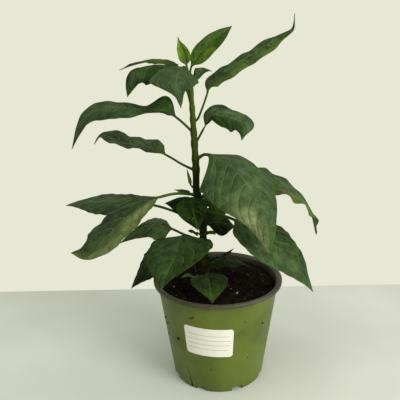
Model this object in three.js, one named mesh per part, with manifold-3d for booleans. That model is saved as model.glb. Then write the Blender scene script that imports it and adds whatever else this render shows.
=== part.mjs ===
// A young chilli pepper plant in a round two-tone nursery pot.
// Millimetres, +Z up. The origin is the middle of the pot's foot, on the table.
import * as THREE from 'three';
import Module from 'manifold-3d';
import { mergeVertices } from 'three/addons/utils/BufferGeometryUtils.js';

const wasm = await Module();
wasm.setup();

// ---- driving dimensions ----------------------------------------------------
const POT_HEIGHT = 112;
const RIM_RADIUS = 70;
const RIM_HEIGHT = 4;
const RIM_MOUTH_RADIUS = 66.8;
const WALL_TOP_RADIUS = 65.6;
const FOOT_RADIUS = 50;
const WALL = 1.6;
const FLOOR = 1.8;
const FOOT_RISE = 1.5;
const DRAIN_COUNT = 8;
const DRAIN_WIDTH = 12;
const DRAIN_REACH = 7;
const DRAIN_HEIGHT = 4.5;
const POT_SIDES = 40;

const LABEL_FROM = -36;
const LABEL_TO = 12.8;
const LABEL_MIDDLE = 64.7;
const LABEL_HEIGHT = 34;
const LABEL_TILT = -1.4;
const LABEL_THICKNESS = 0.4;

const CLEARANCE = 0.35;
const SOIL_TOP = 102.5;
const SOIL_BACK_RISE = 3;
const SOIL_LUMP = 1.1;
const SOIL_SIDES = 32;
const SOIL_RINGS = 7;

const LEAF_THICKNESS = 0.8;
const RIB_DEPTH = 0.7;

const STEM_SIDES = 8;
const STEM_STEPS = 34;
// Middle of the stem from the root crown to the growing tip.
const STEM_LINE = [
  [-12, 0, 84], [-12, 0, 97], [-13, 0, 116], [-15, 0, 142], [-15, 0, 163], [-15, 0, 182],
  [-18, 0, 196], [-21, 0, 209], [-21, 0, 231], [-22, 0, 256], [-23, 0, 280], [-24, 0, 301],
  [-25, 0, 317], [-26, 0, 328],
];
const STEM_RADII = [4.6, 4.4, 3.9, 3.7, 3.6, 3.6, 3.6, 3.6, 3.5, 3.2, 2.6, 2.3, 2.2, 2.2];
const NODE_SWELLING = 0.7;
const NODE_REACH = 4;

// Half-width of a blade at eleven even stops from its base to its tip.
const OUTLINES = {
  egg: [0, 0.65, 0.89, 0.99, 0.99, 0.92, 0.79, 0.61, 0.40, 0.19, 0],
  round: [0, 0.75, 0.95, 1, 0.96, 0.86, 0.71, 0.53, 0.33, 0.14, 0],
  full: [0, 0.52, 0.84, 0.98, 1, 0.95, 0.84, 0.66, 0.43, 0.19, 0],
  strap: [0, 0.55, 0.88, 1, 1, 0.98, 0.92, 0.80, 0.60, 0.32, 0],
  tail: [0, 0.55, 0.88, 1, 0.98, 0.92, 0.80, 0.60, 0.34, 0.14, 0],
  wing: [0, 0.36, 0.52, 0.66, 0.84, 1, 0.76, 0.36, 0.16, 0.08, 0],
  cape: [0, 0.75, 1, 1, 1, 0.92, 0.72, 0.42, 0.22, 0.12, 0],
  flap: [0, 0.20, 0.50, 0.66, 0.62, 0.54, 0.45, 0.36, 0.25, 0.12, 0],
  ribbon: [0, 0.90, 0.95, 1, 1, 1, 1, 0.85, 0.40, 0.14, 0],
  hump: [0, 1, 0.60, 0.30, 0.62, 0.70, 0.76, 0.70, 0.54, 0.30, 0],
  swag: [0, 0.45, 0.30, 0.45, 0.92, 1, 0.98, 0.80, 0.52, 0.22, 0],
  crest: [0, 0.12, 0.84, 0.92, 0.88, 0.82, 0.82, 0.86, 0.88, 0.20, 0],
  drape: [0, 0.10, 0.35, 0.50, 0.65, 0.80, 0.95, 1, 0.84, 0.48, 0],
  blunt: [0, 0.60, 0.90, 1, 1, 1, 1, 0.95, 0.80, 0.45, 0],
  lobe: [0, 0.92, 0.98, 1, 1, 0.92, 0.78, 0.60, 0.40, 0.20, 0],
  lean: [0, 0.70, 0.94, 1, 1, 0.96, 0.87, 0.70, 0.48, 0.24, 0],
  slope: [0, 0.52, 0.84, 0.98, 1, 0.90, 0.72, 0.42, 0.16, 0.06, 0],
  ragged: [0, 0.52, 0.84, 0.96, 1, 1, 1, 1, 0.92, 0.50, 0],
  hem: [0, 0.35, 0.62, 0.82, 0.92, 1, 1, 0.95, 0.75, 0.35, 0],
  corner: [0, 0.90, 1, 0.97, 0.88, 0.75, 0.60, 0.44, 0.28, 0.12, 0],
  apron: [0, 0.72, 0.95, 1, 0.93, 0.80, 0.62, 0.43, 0.26, 0.11, 0],
  skirt: [0, 0.60, 0.74, 0.78, 0.80, 0.84, 0.86, 0.78, 0.56, 0.27, 0],
};

// Each leaf: the line of its stalk and midrib from the stem to the tip, the stop where the
// blade starts, the blade's width and outline (one for both sides, or one for each), how far it
// is rolled about its rib, how far each side is folded up (+) or down (-), in degrees, and its
// edge wave.
const LEAVES = {
  leaf_01: {
    line: [[-26, 0, 324], [-28, 0, 334], [-30, 1, 344], [-34, 2, 354], [-36, 3, 361]],
    blade: 1, width: [13, 12], roll: [75], fold: [20, 20], outline: 'tail', wave: 0.02,
  },
  leaf_02: {
    line: [[-25, 0, 322], [-24, 2, 332], [-17, 5, 343], [-6, 9, 354], [6, 13, 363], [17, 17, 371]],
    blade: 1, width: [16, 20], roll: [-60, -55, -50], fold: [12, 12], outline: 'strap',
    wave: 0.04, waves: 4,
  },
  leaf_03: {
    line: [
      [-26, 0, 320], [-35, 5, 332], [-47, 14, 336], [-66, 24, 339], [-84, 33, 336],
      [-100, 40, 331],
    ],
    blade: 1, width: [46, 26], roll: [1, 7, 8], fold: [5, 5], outline: 'tail', wave: 0.03,
  },
  leaf_04: {
    line: [
      [-24, 0, 293], [-28, -4, 310], [-36, -8, 331], [-50, -12, 334], [-65, -16, 333],
      [-76, -20, 330], [-82, -23, 322], [-84, -25, 307],
    ],
    blade: 2, width: [34, 20], roll: [0], fold: [[-60, -64, -55], 10], outline: 'strap',
    wave: 0.03,
  },
  leaf_05: {
    line: [
      [-25, 0, 309], [-26, -4, 325], [-30, -16, 333], [-36, -33, 327], [-36, -44, 317],
      [-34, -49, 307], [-33, -51, 298],
    ],
    blade: 2, width: [40, 50], roll: [0], fold: [-35, 12], outline: ['cape', 'wing'], wave: 0.03,
  },
  leaf_06: {
    line: [
      [-25, 0, 312], [-21, -4, 323], [-19, -9, 331], [-14, -13, 332], [-9, -15, 331],
      [-4, -17, 329],
    ],
    blade: 2, width: [12, 45], roll: [0], fold: [0, [-55, -55, -15]], outline: ['round', 'flap'],
    wave: 0.02,
  },
  leaf_07: {
    line: [
      [-22, 0, 282], [-18, 1, 283], [-9, 4, 305], [-5, 6, 318], [13, 10, 330], [33, 16, 342],
      [58, 22, 356], [74, 24, 364], [79, 24, 369], [80, 25, 382],
    ],
    blade: 2, width: [26, 18], roll: [-10, -5, -5], fold: [[0, 0, 15], [-50, -60, -40]],
    outline: 'ribbon', wave: 0.06, waves: 5,
  },
  leaf_08: {
    line: [
      [-23, 0, 269], [-37, -4, 283], [-50, -9, 292], [-65, -16, 294], [-85, -24, 297],
      [-105, -30, 298], [-124, -34, 289], [-137, -38, 261],
    ],
    blade: 1, width: [34, 40], roll: [0], fold: [[-30, -20, -30, -30, -30], [72, 25, 15, 15, 10]],
    outline: ['swag', 'hump'], wave: 0.03,
  },
  leaf_09: {
    line: [
      [-21, 0, 258], [-14, -5, 271], [-8, -9, 283], [-3, -12, 288], [7, -18, 287], [17, -23, 285],
      [25, -28, 279], [26, -31, 272], [23, -32, 265],
    ],
    blade: 1, width: [30, 28], roll: [0], fold: [[75, 30, 10], [-60, -60, -40]],
    outline: ['crest', 'drape'], wave: 0.05,
  },
  leaf_10: {
    line: [
      [-24, 0, 231], [-36, 5, 236], [-50, 9, 244], [-69, 16, 252], [-95, 24, 256],
      [-113, 30, 262], [-124, 32, 262], [-131, 33, 254],
    ],
    blade: 2, width: [36, 34], roll: [0], fold: [0, [25, 15, 20]], outline: 'blunt', wave: 0.06,
    waves: 4,
  },
  leaf_11: {
    line: [
      [-20, 0, 242], [-10, -8, 248], [8, -24, 243], [22, -38, 232], [33, -50, 218],
      [40, -58, 204], [44, -63, 188], [46, -66, 163],
    ],
    blade: 1, width: [70, 76], roll: [-50, -45, -40], fold: [[-50, -50, -50, -50, -25], -5],
    outline: ['lean', 'lobe'], wave: 0.02,
  },
  leaf_12: {
    line: [
      [-19, 0, 198], [-1, 8, 212], [26, 16, 225], [61, 24, 214], [88, 28, 198], [105, 30, 177],
      [114, 30, 146],
    ],
    blade: 2, width: [38, 66], roll: [-25, -15, -10], fold: [0, 0], outline: ['slope', 'ragged'],
    wave: 0.08, waves: 5,
  },
  leaf_13: {
    line: [
      [-15, 0, 187], [-2, -5, 185], [14, -11, 181], [33, -24, 175], [51, -36, 164],
      [66, -44, 153], [79, -49, 140], [88, -51, 125], [93, -52, 116],
    ],
    blade: 2, width: [78, 62], roll: [-5], fold: [-5, -5], outline: 'full', wave: 0.02,
  },
  leaf_14: {
    line: [
      [-15, 0, 166], [-35, 6, 179], [-50, 10, 185], [-69, 16, 189], [-95, 24, 190],
      [-125, 32, 190], [-149, 38, 187], [-171, 42, 183],
    ],
    blade: 3, width: [58, 43], roll: [0], fold: [-15, 8], outline: ['full', 'strap'], wave: 0.02,
  },
  leaf_15: {
    line: [
      [-21, 0, 204], [-40, -8, 208], [-55, -14, 207], [-71, -23, 204], [-86, -35, 196],
      [-96, -43, 188], [-108, -50, 178], [-118, -56, 170], [-129, -60, 164], [-140, -63, 167],
    ],
    blade: 2, width: [54, 62], roll: [0], fold: [0, 0], outline: ['hem', 'blunt'], wave: 0.03,
    waves: 4,
  },
  leaf_16: {
    line: [
      [-15, 0, 153], [-33, -2, 160], [-46, -3, 167], [-58, -4, 173], [-76, -5, 173],
      [-105, -8, 154],
    ],
    blade: 2, width: [48, 40], roll: [0], fold: [-25, 0], outline: 'corner', wave: 0.02,
  },
  leaf_17: {
    line: [
      [-15, 0, 145], [-26, -8, 159], [-35, -17, 165], [-38, -38, 166], [-43, -62, 159],
      [-50, -76, 148], [-55, -86, 138],
    ],
    blade: 2, width: [66, 72], roll: [0], fold: [0, -5], outline: ['apron', 'skirt'], wave: 0.02,
  },
  leaf_18: {
    line: [[-15, 0, 137], [-28, 4, 141], [-46, 6, 145], [-67, 4, 137], [-84, 0, 116], [-95, -4, 100]],
    blade: 2, width: [64, 56], roll: [0], fold: [-15, 5], outline: 'egg', wave: 0.02,
  },
  leaf_19: {
    line: [[-13, 0, 112], [-12, -10, 119], [-10, -26, 118], [-8, -42, 114], [-7, -54, 107]],
    blade: 1, width: 39, roll: [0], fold: [5, 5], outline: 'full', wave: 0.02,
  },
  leaf_20: {
    line: [[-15, 0, 168], [-11, 5, 169], [-2, 13, 169], [10, 22, 165], [22, 31, 157]],
    blade: 1, width: [38, 32], roll: [-45], fold: [0, -10], outline: ['round', 'full'],
    wave: 0.02,
  },
  leaf_21: {
    line: [[-19, 0, 198], [-26, -8, 203], [-27, -14, 200], [-24, -22, 190], [-20, -27, 174]],
    blade: 1, width: 32, roll: [0], fold: [5, 5], outline: 'egg', wave: 0.02,
  },
  leaf_22: {
    line: [[-13, 0, 119], [-4, 10, 124], [9, 18, 121], [26, 26, 117], [38, 29, 109]],
    blade: 1, width: [16, 30], roll: [0], fold: [0, -10], outline: 'egg', wave: 0.02,
  },
  leaf_23: {
    line: [[-15, 0, 183], [-11, 6, 190], [-2, 12, 191], [9, 17, 187], [19, 22, 180]],
    blade: 1, width: [20, 34], roll: [-45], fold: [0, -10], outline: 'lobe', wave: 0.02,
  },
  leaf_24: {
    line: [[-16, 0, 180], [-24, 4, 191], [-34, 8, 196], [-45, 12, 195], [-56, 16, 191]],
    blade: 1, width: [36, 20], roll: [0], fold: [-48, 5], outline: ['egg', 'round'], wave: 0.02,
  },
  leaf_25: {
    line: [[-13, 0, 116], [-8, -5, 128], [-1, -10, 132], [6, -16, 128]],
    blade: 1, width: 26, roll: [0], fold: [5, -20], outline: 'round', wave: 0.02,
  },
  leaf_26: {
    line: [[-14, 0, 126], [-5, 16, 126], [9, 34, 120], [21, 46, 125]],
    blade: 1, width: 12, roll: [0], fold: [15, 15], outline: 'egg', wave: 0.02,
  },
};

// Small side shoots and the seed leaf, one solid with the stem that they grow from.
const SHOOTS = [
  {
    line: [[-22, 0, 209], [-27, -3, 216], [-29, -5, 224], [-30, -6, 233]],
    width: 9, roll: [20], fold: [20, 20],
  },
  {
    line: [[-16, -1, 188], [-10, -4, 197], [-11, -5, 206], [-16, -4, 214]],
    width: 9, roll: [0], fold: [20, 20],
  },
  {
    line: [[-15, -1, 158], [-21, -6, 164], [-27, -9, 169], [-31, -10, 168]],
    width: 17, roll: [0], fold: [-25, -25],
  },
  {
    line: [[-15, -1, 158], [-11, -6, 165], [-6, -11, 168], [-2, -15, 165]],
    width: 17, roll: [0], fold: [-25, -25],
  },
  {
    line: [[-20, 1, 201], [-28, 6, 203], [-36, 11, 205], [-45, 16, 206]],
    width: 12, roll: [0], fold: [5, 5],
  },
  {
    line: [[-13, -1, 107], [-25, -7, 114], [-32, -10, 117], [-40, -12, 116]],
    width: 10, roll: [0], fold: [5, 5],
  },
];

// ---- colours ---------------------------------------------------------------
const colours = {
  pot: new THREE.MeshStandardMaterial({ color: 0x71803d, roughness: 0.45, metalness: 0 }),
  label: new THREE.MeshStandardMaterial({ color: 0xe9ebe8, roughness: 0.6, metalness: 0 }),
  soil: new THREE.MeshStandardMaterial({ color: 0x2a211c, roughness: 1, metalness: 0 }),
  stem: new THREE.MeshStandardMaterial({ color: 0x5d6b2c, roughness: 0.6, metalness: 0 }),
  leaf: new THREE.MeshStandardMaterial({ color: 0x2f4a26, roughness: 0.5, metalness: 0 }),
};

const group = new THREE.Group();
function add(name, geometry, material) {
  const mesh = new THREE.Mesh(geometry, material);
  mesh.name = name;
  group.add(mesh);
}

// ---- small helpers ---------------------------------------------------------
const radians = THREE.MathUtils.degToRad;

function closedGeometry(positions, indices) {
  const geometry = new THREE.BufferGeometry();
  geometry.setAttribute('position', new THREE.Float32BufferAttribute(positions, 3));
  geometry.setIndex(indices);
  return geometry;
}

function toSolid(geometry) {
  geometry.deleteAttribute('normal');
  geometry.deleteAttribute('uv');
  const merged = geometry.index && !geometry.parameters ? geometry : mergeVertices(geometry, 1e-3);
  return new wasm.Manifold(new wasm.Mesh({
    numProp: 3,
    vertProperties: new Float32Array(merged.attributes.position.array),
    triVerts: new Uint32Array(merged.index.array),
  }));
}

function fromSolid(solid) {
  const mesh = solid.getMesh();
  return closedGeometry(Array.from(mesh.vertProperties), Array.from(mesh.triVerts));
}

function catmullRom(a, b, c, d, f) {
  const square = 2 * a - 5 * b + 4 * c - d;
  const cubic = 3 * b - a - 3 * c + d;
  return 0.5 * (2 * b + (c - a) * f + square * f * f + cubic * f * f * f);
}

// A fine polyline through the stops, with its running length and the length at each stop.
function smoothLine(stops) {
  const first = stops[0].map((value, k) => 2 * value - stops[1][k]);
  const last = stops[stops.length - 1].map((value, k) => 2 * value - stops[stops.length - 2][k]);
  const p = [first, ...stops, last];
  const points = [];
  const stopAt = [];
  const steps = 24;
  for (let i = 1; i < p.length - 2; i += 1) {
    stopAt.push(points.length);
    for (let s = 0; s < steps; s += 1) {
      const f = s / steps;
      const [a, b, c, d] = p.slice(i - 1, i + 3);
      points.push(new THREE.Vector3(...[0, 1, 2].map((k) => catmullRom(a[k], b[k], c[k], d[k], f))));
    }
  }
  stopAt.push(points.length);
  points.push(new THREE.Vector3(...stops[stops.length - 1]));
  const length = [0];
  for (let i = 1; i < points.length; i += 1) {
    length.push(length[i - 1] + points[i].distanceTo(points[i - 1]));
  }
  return { points, length, stopLength: stopAt.map((i) => length[i]) };
}

function alongLine(line, distance) {
  const { points, length } = line;
  let i = 1;
  while (i < length.length - 1 && length[i] < distance) {
    i += 1;
  }
  const f = (distance - length[i - 1]) / (length[i] - length[i - 1]);
  return new THREE.Vector3().lerpVectors(points[i - 1], points[i], THREE.MathUtils.clamp(f, 0, 1));
}

function eased(values, t) {
  if (!Array.isArray(values)) {
    return values;
  }
  if (values.length === 1) {
    return values[0];
  }
  const x = t * (values.length - 1);
  const i = Math.min(Math.floor(x), values.length - 2);
  const f = x - i;
  const g = f * f * (3 - 2 * f);
  return values[i] * (1 - g) + values[i + 1] * g;
}

function halfWidth(name, t) {
  const v = OUTLINES[name];
  const stops = [-v[1], ...v, -v[v.length - 2]];
  const x = THREE.MathUtils.clamp(t * (v.length - 1), 0, v.length - 1 - 1e-9);
  const i = Math.floor(x);
  return Math.max(0, catmullRom(stops[i], stops[i + 1], stops[i + 2], stops[i + 3], x - i));
}

// Direction of the line, and a side direction that starts level at the blade's base and is
// carried along without twisting.
function frames(line, baseLength) {
  const { points, length } = line;
  const n = points.length;
  const tangents = points.map((point, i) => new THREE.Vector3()
    .subVectors(points[Math.min(i + 1, n - 1)], points[Math.max(i - 1, 0)]).normalize());
  let base = 0;
  while (base < n - 1 && length[base] < baseLength) {
    base += 1;
  }
  const sides = new Array(n);
  sides[base] = new THREE.Vector3().crossVectors(tangents[base], new THREE.Vector3(0, 0, 1)).normalize();
  const carry = (from, to) => {
    const side = sides[from].clone();
    side.addScaledVector(tangents[to], -side.dot(tangents[to]));
    sides[to] = side.normalize();
  };
  for (let i = base + 1; i < n; i += 1) {
    carry(i - 1, i);
  }
  for (let i = base - 1; i >= 0; i -= 1) {
    carry(i + 1, i);
  }
  return { points: tangents, sides };
}

// ---- stem ------------------------------------------------------------------
const stemLine = smoothLine(STEM_LINE);
const stemTop = stemLine.length[stemLine.length.length - 1];

function stemRadius(distance) {
  let i = 1;
  while (i < STEM_LINE.length - 1 && stemLine.stopLength[i] < distance) {
    i += 1;
  }
  const from = stemLine.stopLength[i - 1];
  const f = THREE.MathUtils.clamp((distance - from) / (stemLine.stopLength[i] - from), 0, 1);
  let radius = THREE.MathUtils.lerp(STEM_RADII[i - 1], STEM_RADII[i], f);
  const here = alongLine(stemLine, distance);
  let swelling = 0;
  for (const leaf of Object.values(LEAVES)) {
    const gap = (here.z - leaf.line[0][2]) / NODE_REACH;
    swelling = Math.max(swelling, Math.exp(-gap * gap));
  }
  if (here.z > 112) {
    radius += NODE_SWELLING * swelling * Math.min(1, radius / 3);
  }
  return radius;
}

function stemGeometry(extra) {
  const positions = [];
  const indices = [];
  const up = new THREE.Vector3(0, 1, 0);
  for (let i = 0; i <= STEM_STEPS; i += 1) {
    const distance = (stemTop * i) / STEM_STEPS;
    const centre = alongLine(stemLine, distance);
    const ahead = alongLine(stemLine, Math.min(stemTop, distance + 1));
    const behind = alongLine(stemLine, Math.max(0, distance - 1));
    const direction = ahead.sub(behind).normalize();
    const x = new THREE.Vector3().crossVectors(up, direction).normalize();
    const y = new THREE.Vector3().crossVectors(direction, x);
    const radius = stemRadius(distance) * (i === STEM_STEPS ? 0.45 : 1) + extra;
    for (let k = 0; k < STEM_SIDES; k += 1) {
      const angle = (2 * Math.PI * k) / STEM_SIDES;
      const p = centre.clone()
        .addScaledVector(x, radius * Math.cos(angle))
        .addScaledVector(y, radius * Math.sin(angle));
      positions.push(p.x, p.y, p.z);
    }
  }
  for (let i = 0; i < STEM_STEPS; i += 1) {
    for (let k = 0; k < STEM_SIDES; k += 1) {
      const a = i * STEM_SIDES + k;
      const b = i * STEM_SIDES + ((k + 1) % STEM_SIDES);
      indices.push(a, b, b + STEM_SIDES, a, b + STEM_SIDES, a + STEM_SIDES);
    }
  }
  const top = STEM_STEPS * STEM_SIDES;
  for (let k = 1; k < STEM_SIDES - 1; k += 1) {
    indices.push(0, k + 1, k);
    indices.push(top, top + k, top + k + 1);
  }
  return closedGeometry(positions, indices);
}

// ---- leaves ----------------------------------------------------------------
// One closed skin: a round stalk that flattens into a thin blade with a raised rib beneath.
function leafGeometry(leaf, options) {
  const { across, stalkSteps, bladeSteps } = options;
  const line = smoothLine(leaf.line);
  const total = line.length[line.length.length - 1];
  const baseLength = line.stopLength[leaf.blade ?? 1];
  const { points: tangents, sides } = frames(line, baseLength);
  const widths = Array.isArray(leaf.width) ? leaf.width : [leaf.width, leaf.width];
  const size = Math.max(...widths);
  const stalkRadius = THREE.MathUtils.clamp(0.75 + size * 0.011, 0.8, 1.5);
  const waves = leaf.waves ?? 3;
  const outlines = [leaf.outline ?? 'egg'].flat();

  const stations = [];
  for (let i = 0; i < stalkSteps; i += 1) {
    stations.push((baseLength * i) / stalkSteps);
  }
  for (let i = 0; i <= bladeSteps; i += 1) {
    const t = i / bladeSteps;
    stations.push(baseLength + (total - baseLength) * (0.012 + 0.988 * t));
  }

  const middle = [];
  const rows = stations.map((distance) => {
    const t = THREE.MathUtils.clamp((distance - baseLength) / (total - baseLength), 0, 1);
    const centre = alongLine(line, distance);
    let i = 1;
    while (i < line.length.length - 1 && line.length[i] < distance) {
      i += 1;
    }
    const step = line.length[i] - line.length[i - 1];
    const f = THREE.MathUtils.clamp((distance - line.length[i - 1]) / step, 0, 1);
    const tangent = new THREE.Vector3().lerpVectors(tangents[i - 1], tangents[i], f).normalize();
    const level = new THREE.Vector3().lerpVectors(sides[i - 1], sides[i], f);
    level.addScaledVector(tangent, -level.dot(tangent)).normalize();
    const lift = new THREE.Vector3().crossVectors(level, tangent);
    const roll = radians(eased(leaf.roll, t));
    const side = level.clone().multiplyScalar(Math.cos(roll)).addScaledVector(lift, Math.sin(roll));
    const up = lift.clone().multiplyScalar(Math.cos(roll)).addScaledVector(level, -Math.sin(roll));
    const row = [];
    for (let j = 0; j < across; j += 1) {
      const u = (2 * j) / (across - 1) - 1;
      const k = u < 0 ? 0 : 1;
      const fold = radians(eased(leaf.fold[k], t));
      const profile = halfWidth(outlines[k % outlines.length], t);
      const half = Math.max((widths[k] / 2) * profile, t > 0.5 ? 0.7 : stalkRadius);
      const reach = half * Math.abs(u);
      const x = reach * Math.cos(fold);
      const phase = waves * t + (u > 0 ? 0.37 : 0);
      const z = reach * Math.sin(fold) + (leaf.wave ?? 0.02) * half * u * u * Math.sin(2 * Math.PI * phase);
      row.push(centre.clone().addScaledVector(side, Math.sign(u) * x).addScaledVector(up, z));
    }
    middle.push(row);
    return { t, centre, side, up, inBlade: distance > baseLength };
  });

  const ring = 2 * across;
  const positions = [];
  rows.forEach((row, i) => {
    const { t, centre, side, up, inBlade } = row;
    const flat = inBlade ? THREE.MathUtils.smoothstep(t, 0, 0.14) : 0;
    const top = [];
    const bottom = [];
    for (let j = 0; j < across; j += 1) {
      const u = (2 * j) / (across - 1) - 1;
      const next = middle[Math.min(i + 1, rows.length - 1)][j];
      const before = middle[Math.max(i - 1, 0)][j];
      const right = middle[i][Math.min(j + 1, across - 1)];
      const left = middle[i][Math.max(j - 1, 0)];
      const normal = new THREE.Vector3().crossVectors(
        new THREE.Vector3().subVectors(right, left), new THREE.Vector3().subVectors(next, before),
      ).normalize();
      if (!(normal.lengthSq() > 0.5) || normal.dot(up) < 0.2) {
        normal.copy(up);
      }
      const angle = Math.PI * (1 - (j + 0.5) / across);
      const round = (sign) => centre.clone()
        .addScaledVector(side, stalkRadius * Math.cos(angle))
        .addScaledVector(up, sign * stalkRadius * Math.sin(angle));
      const rib = j === (across - 1) / 2 ? RIB_DEPTH * (1 - 0.8 * t) : 0;
      const thinTop = middle[i][j].clone().addScaledVector(normal, LEAF_THICKNESS / 2);
      const thinBottom = middle[i][j].clone().addScaledVector(normal, -LEAF_THICKNESS / 2 - rib);
      top.push(round(1).lerp(thinTop, flat));
      bottom.push(round(-1).lerp(thinBottom, flat));
    }
    [...top, ...bottom.reverse()].forEach((p) => positions.push(p.x, p.y, p.z));
  });

  const indices = [];
  for (let i = 0; i < rows.length - 1; i += 1) {
    for (let j = 0; j < ring; j += 1) {
      const a = i * ring + j;
      const b = i * ring + ((j + 1) % ring);
      // The same diagonal on both faces, so that a waved blade never crosses itself.
      if (j < across) {
        indices.push(a, b, b + ring, a, b + ring, a + ring);
      } else {
        indices.push(a, b, a + ring, b, b + ring, a + ring);
      }
    }
  }
  const end = (rows.length - 1) * ring;
  for (let j = 0; j < across - 1; j += 1) {
    const below = ring - 1 - j;
    indices.push(j, below, j + 1, j + 1, below, below - 1);
    indices.push(end + j, end + j + 1, end + below, end + j + 1, end + below - 1, end + below);
  }
  return closedGeometry(positions, indices);
}

// ---- pot -------------------------------------------------------------------
function wallRadius(z) {
  return FOOT_RADIUS + ((WALL_TOP_RADIUS - FOOT_RADIUS) * z) / (POT_HEIGHT - RIM_HEIGHT);
}

function potGeometry() {
  const under = POT_HEIGHT - RIM_HEIGHT;
  const profile = [
    [0, 0],
    [20, 0],
    [23, FOOT_RISE],
    [FOOT_RADIUS - 6, FOOT_RISE],
    [FOOT_RADIUS - 4, 0],
    [FOOT_RADIUS - 0.8, 0],
    [FOOT_RADIUS, 0.8],
    [wallRadius(under * 0.5), under * 0.5],
    [wallRadius(under), under],
    [RIM_RADIUS - 0.4, under],
    [RIM_RADIUS, under + 0.8],
    [RIM_RADIUS, POT_HEIGHT - 1.4],
    [RIM_RADIUS - 1.1, POT_HEIGHT],
    [RIM_MOUTH_RADIUS, POT_HEIGHT],
    [wallRadius(under) - WALL + 0.4, POT_HEIGHT - 2.2],
    [wallRadius(under) - WALL, under - 2],
    [wallRadius(under * 0.5) - WALL, under * 0.5],
    [FOOT_RADIUS - WALL, FOOT_RISE + FLOOR + 1.5],
    [FOOT_RADIUS - WALL - 1.5, FOOT_RISE + FLOOR],
    [0, FOOT_RISE + FLOOR],
  ].map(([x, z]) => new THREE.Vector2(x, z));
  const lathe = new THREE.LatheGeometry(profile, POT_SIDES);
  lathe.rotateX(Math.PI / 2);
  lathe.deleteAttribute('normal');
  lathe.deleteAttribute('uv');
  let pot = toSolid(mergeVertices(lathe, 1e-3));

  // Drain slots through the corner between wall and foot.
  for (let i = 0; i < DRAIN_COUNT; i += 1) {
    const slot = new THREE.BoxGeometry(DRAIN_WIDTH, 2 * DRAIN_REACH, 2 * DRAIN_HEIGHT);
    slot.translate(0, -FOOT_RADIUS, 0);
    slot.rotateZ(radians(-23.5 + (360 * i) / DRAIN_COUNT));
    pot = pot.subtract(toSolid(slot));
  }
  return fromSolid(pot);
}

// ---- label -----------------------------------------------------------------
function labelGeometry() {
  const columns = 12;
  const rowsOfLabel = 2;
  const corner = 2.2;
  const positions = [];
  const indices = [];
  for (const skin of [0, 1]) {
    for (let i = 0; i <= columns; i += 1) {
      const s = i / columns;
      const arc = (LABEL_TO - LABEL_FROM) * s;
      const angle = radians(LABEL_FROM + arc);
      const fromSide = Math.min(s, 1 - s) * radians(LABEL_TO - LABEL_FROM) * wallRadius(LABEL_MIDDLE);
      const short = fromSide < corner ? corner - Math.sqrt(corner ** 2 - (corner - fromSide) ** 2) : 0;
      for (let j = 0; j <= rowsOfLabel; j += 1) {
        const v = j / rowsOfLabel - 0.5;
        const z = LABEL_MIDDLE + LABEL_TILT * (s - 0.5) + v * (LABEL_HEIGHT - 2 * short);
        const radius = (wallRadius(z) + 0.3 + skin * LABEL_THICKNESS) / Math.cos(Math.PI / POT_SIDES);
        positions.push(radius * Math.sin(angle), -radius * Math.cos(angle), z);
      }
    }
  }
  const stride = rowsOfLabel + 1;
  const skinSize = (columns + 1) * stride;
  for (let i = 0; i < columns; i += 1) {
    for (let j = 0; j < rowsOfLabel; j += 1) {
      const a = i * stride + j;
      const b = a + stride;
      indices.push(a, a + 1, b + 1, a, b + 1, b);
      indices.push(skinSize + a, skinSize + b + 1, skinSize + a + 1);
      indices.push(skinSize + a, skinSize + b, skinSize + b + 1);
    }
  }
  const wall = (a, b) => indices.push(a, b, skinSize + b, a, skinSize + b, skinSize + a);
  for (let i = 0; i < columns; i += 1) {
    wall(i * stride, (i + 1) * stride);
    wall((i + 1) * stride + rowsOfLabel, i * stride + rowsOfLabel);
  }
  for (let j = 0; j < rowsOfLabel; j += 1) {
    wall(j + 1, j);
    wall(columns * stride + j, columns * stride + j + 1);
  }
  return closedGeometry(positions, indices);
}

// ---- soil ------------------------------------------------------------------
function soilHeight(x, y) {
  const small = Math.sin(x * 0.31 + 1.3) * Math.sin(y * 0.27 + 0.4);
  const lumps = small + 0.6 * Math.sin(x * 0.13 - y * 0.19 + 2.1);
  const back = SOIL_BACK_RISE * THREE.MathUtils.smoothstep(y, -30, 64);
  return SOIL_TOP + back + SOIL_LUMP * lumps;
}

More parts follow.
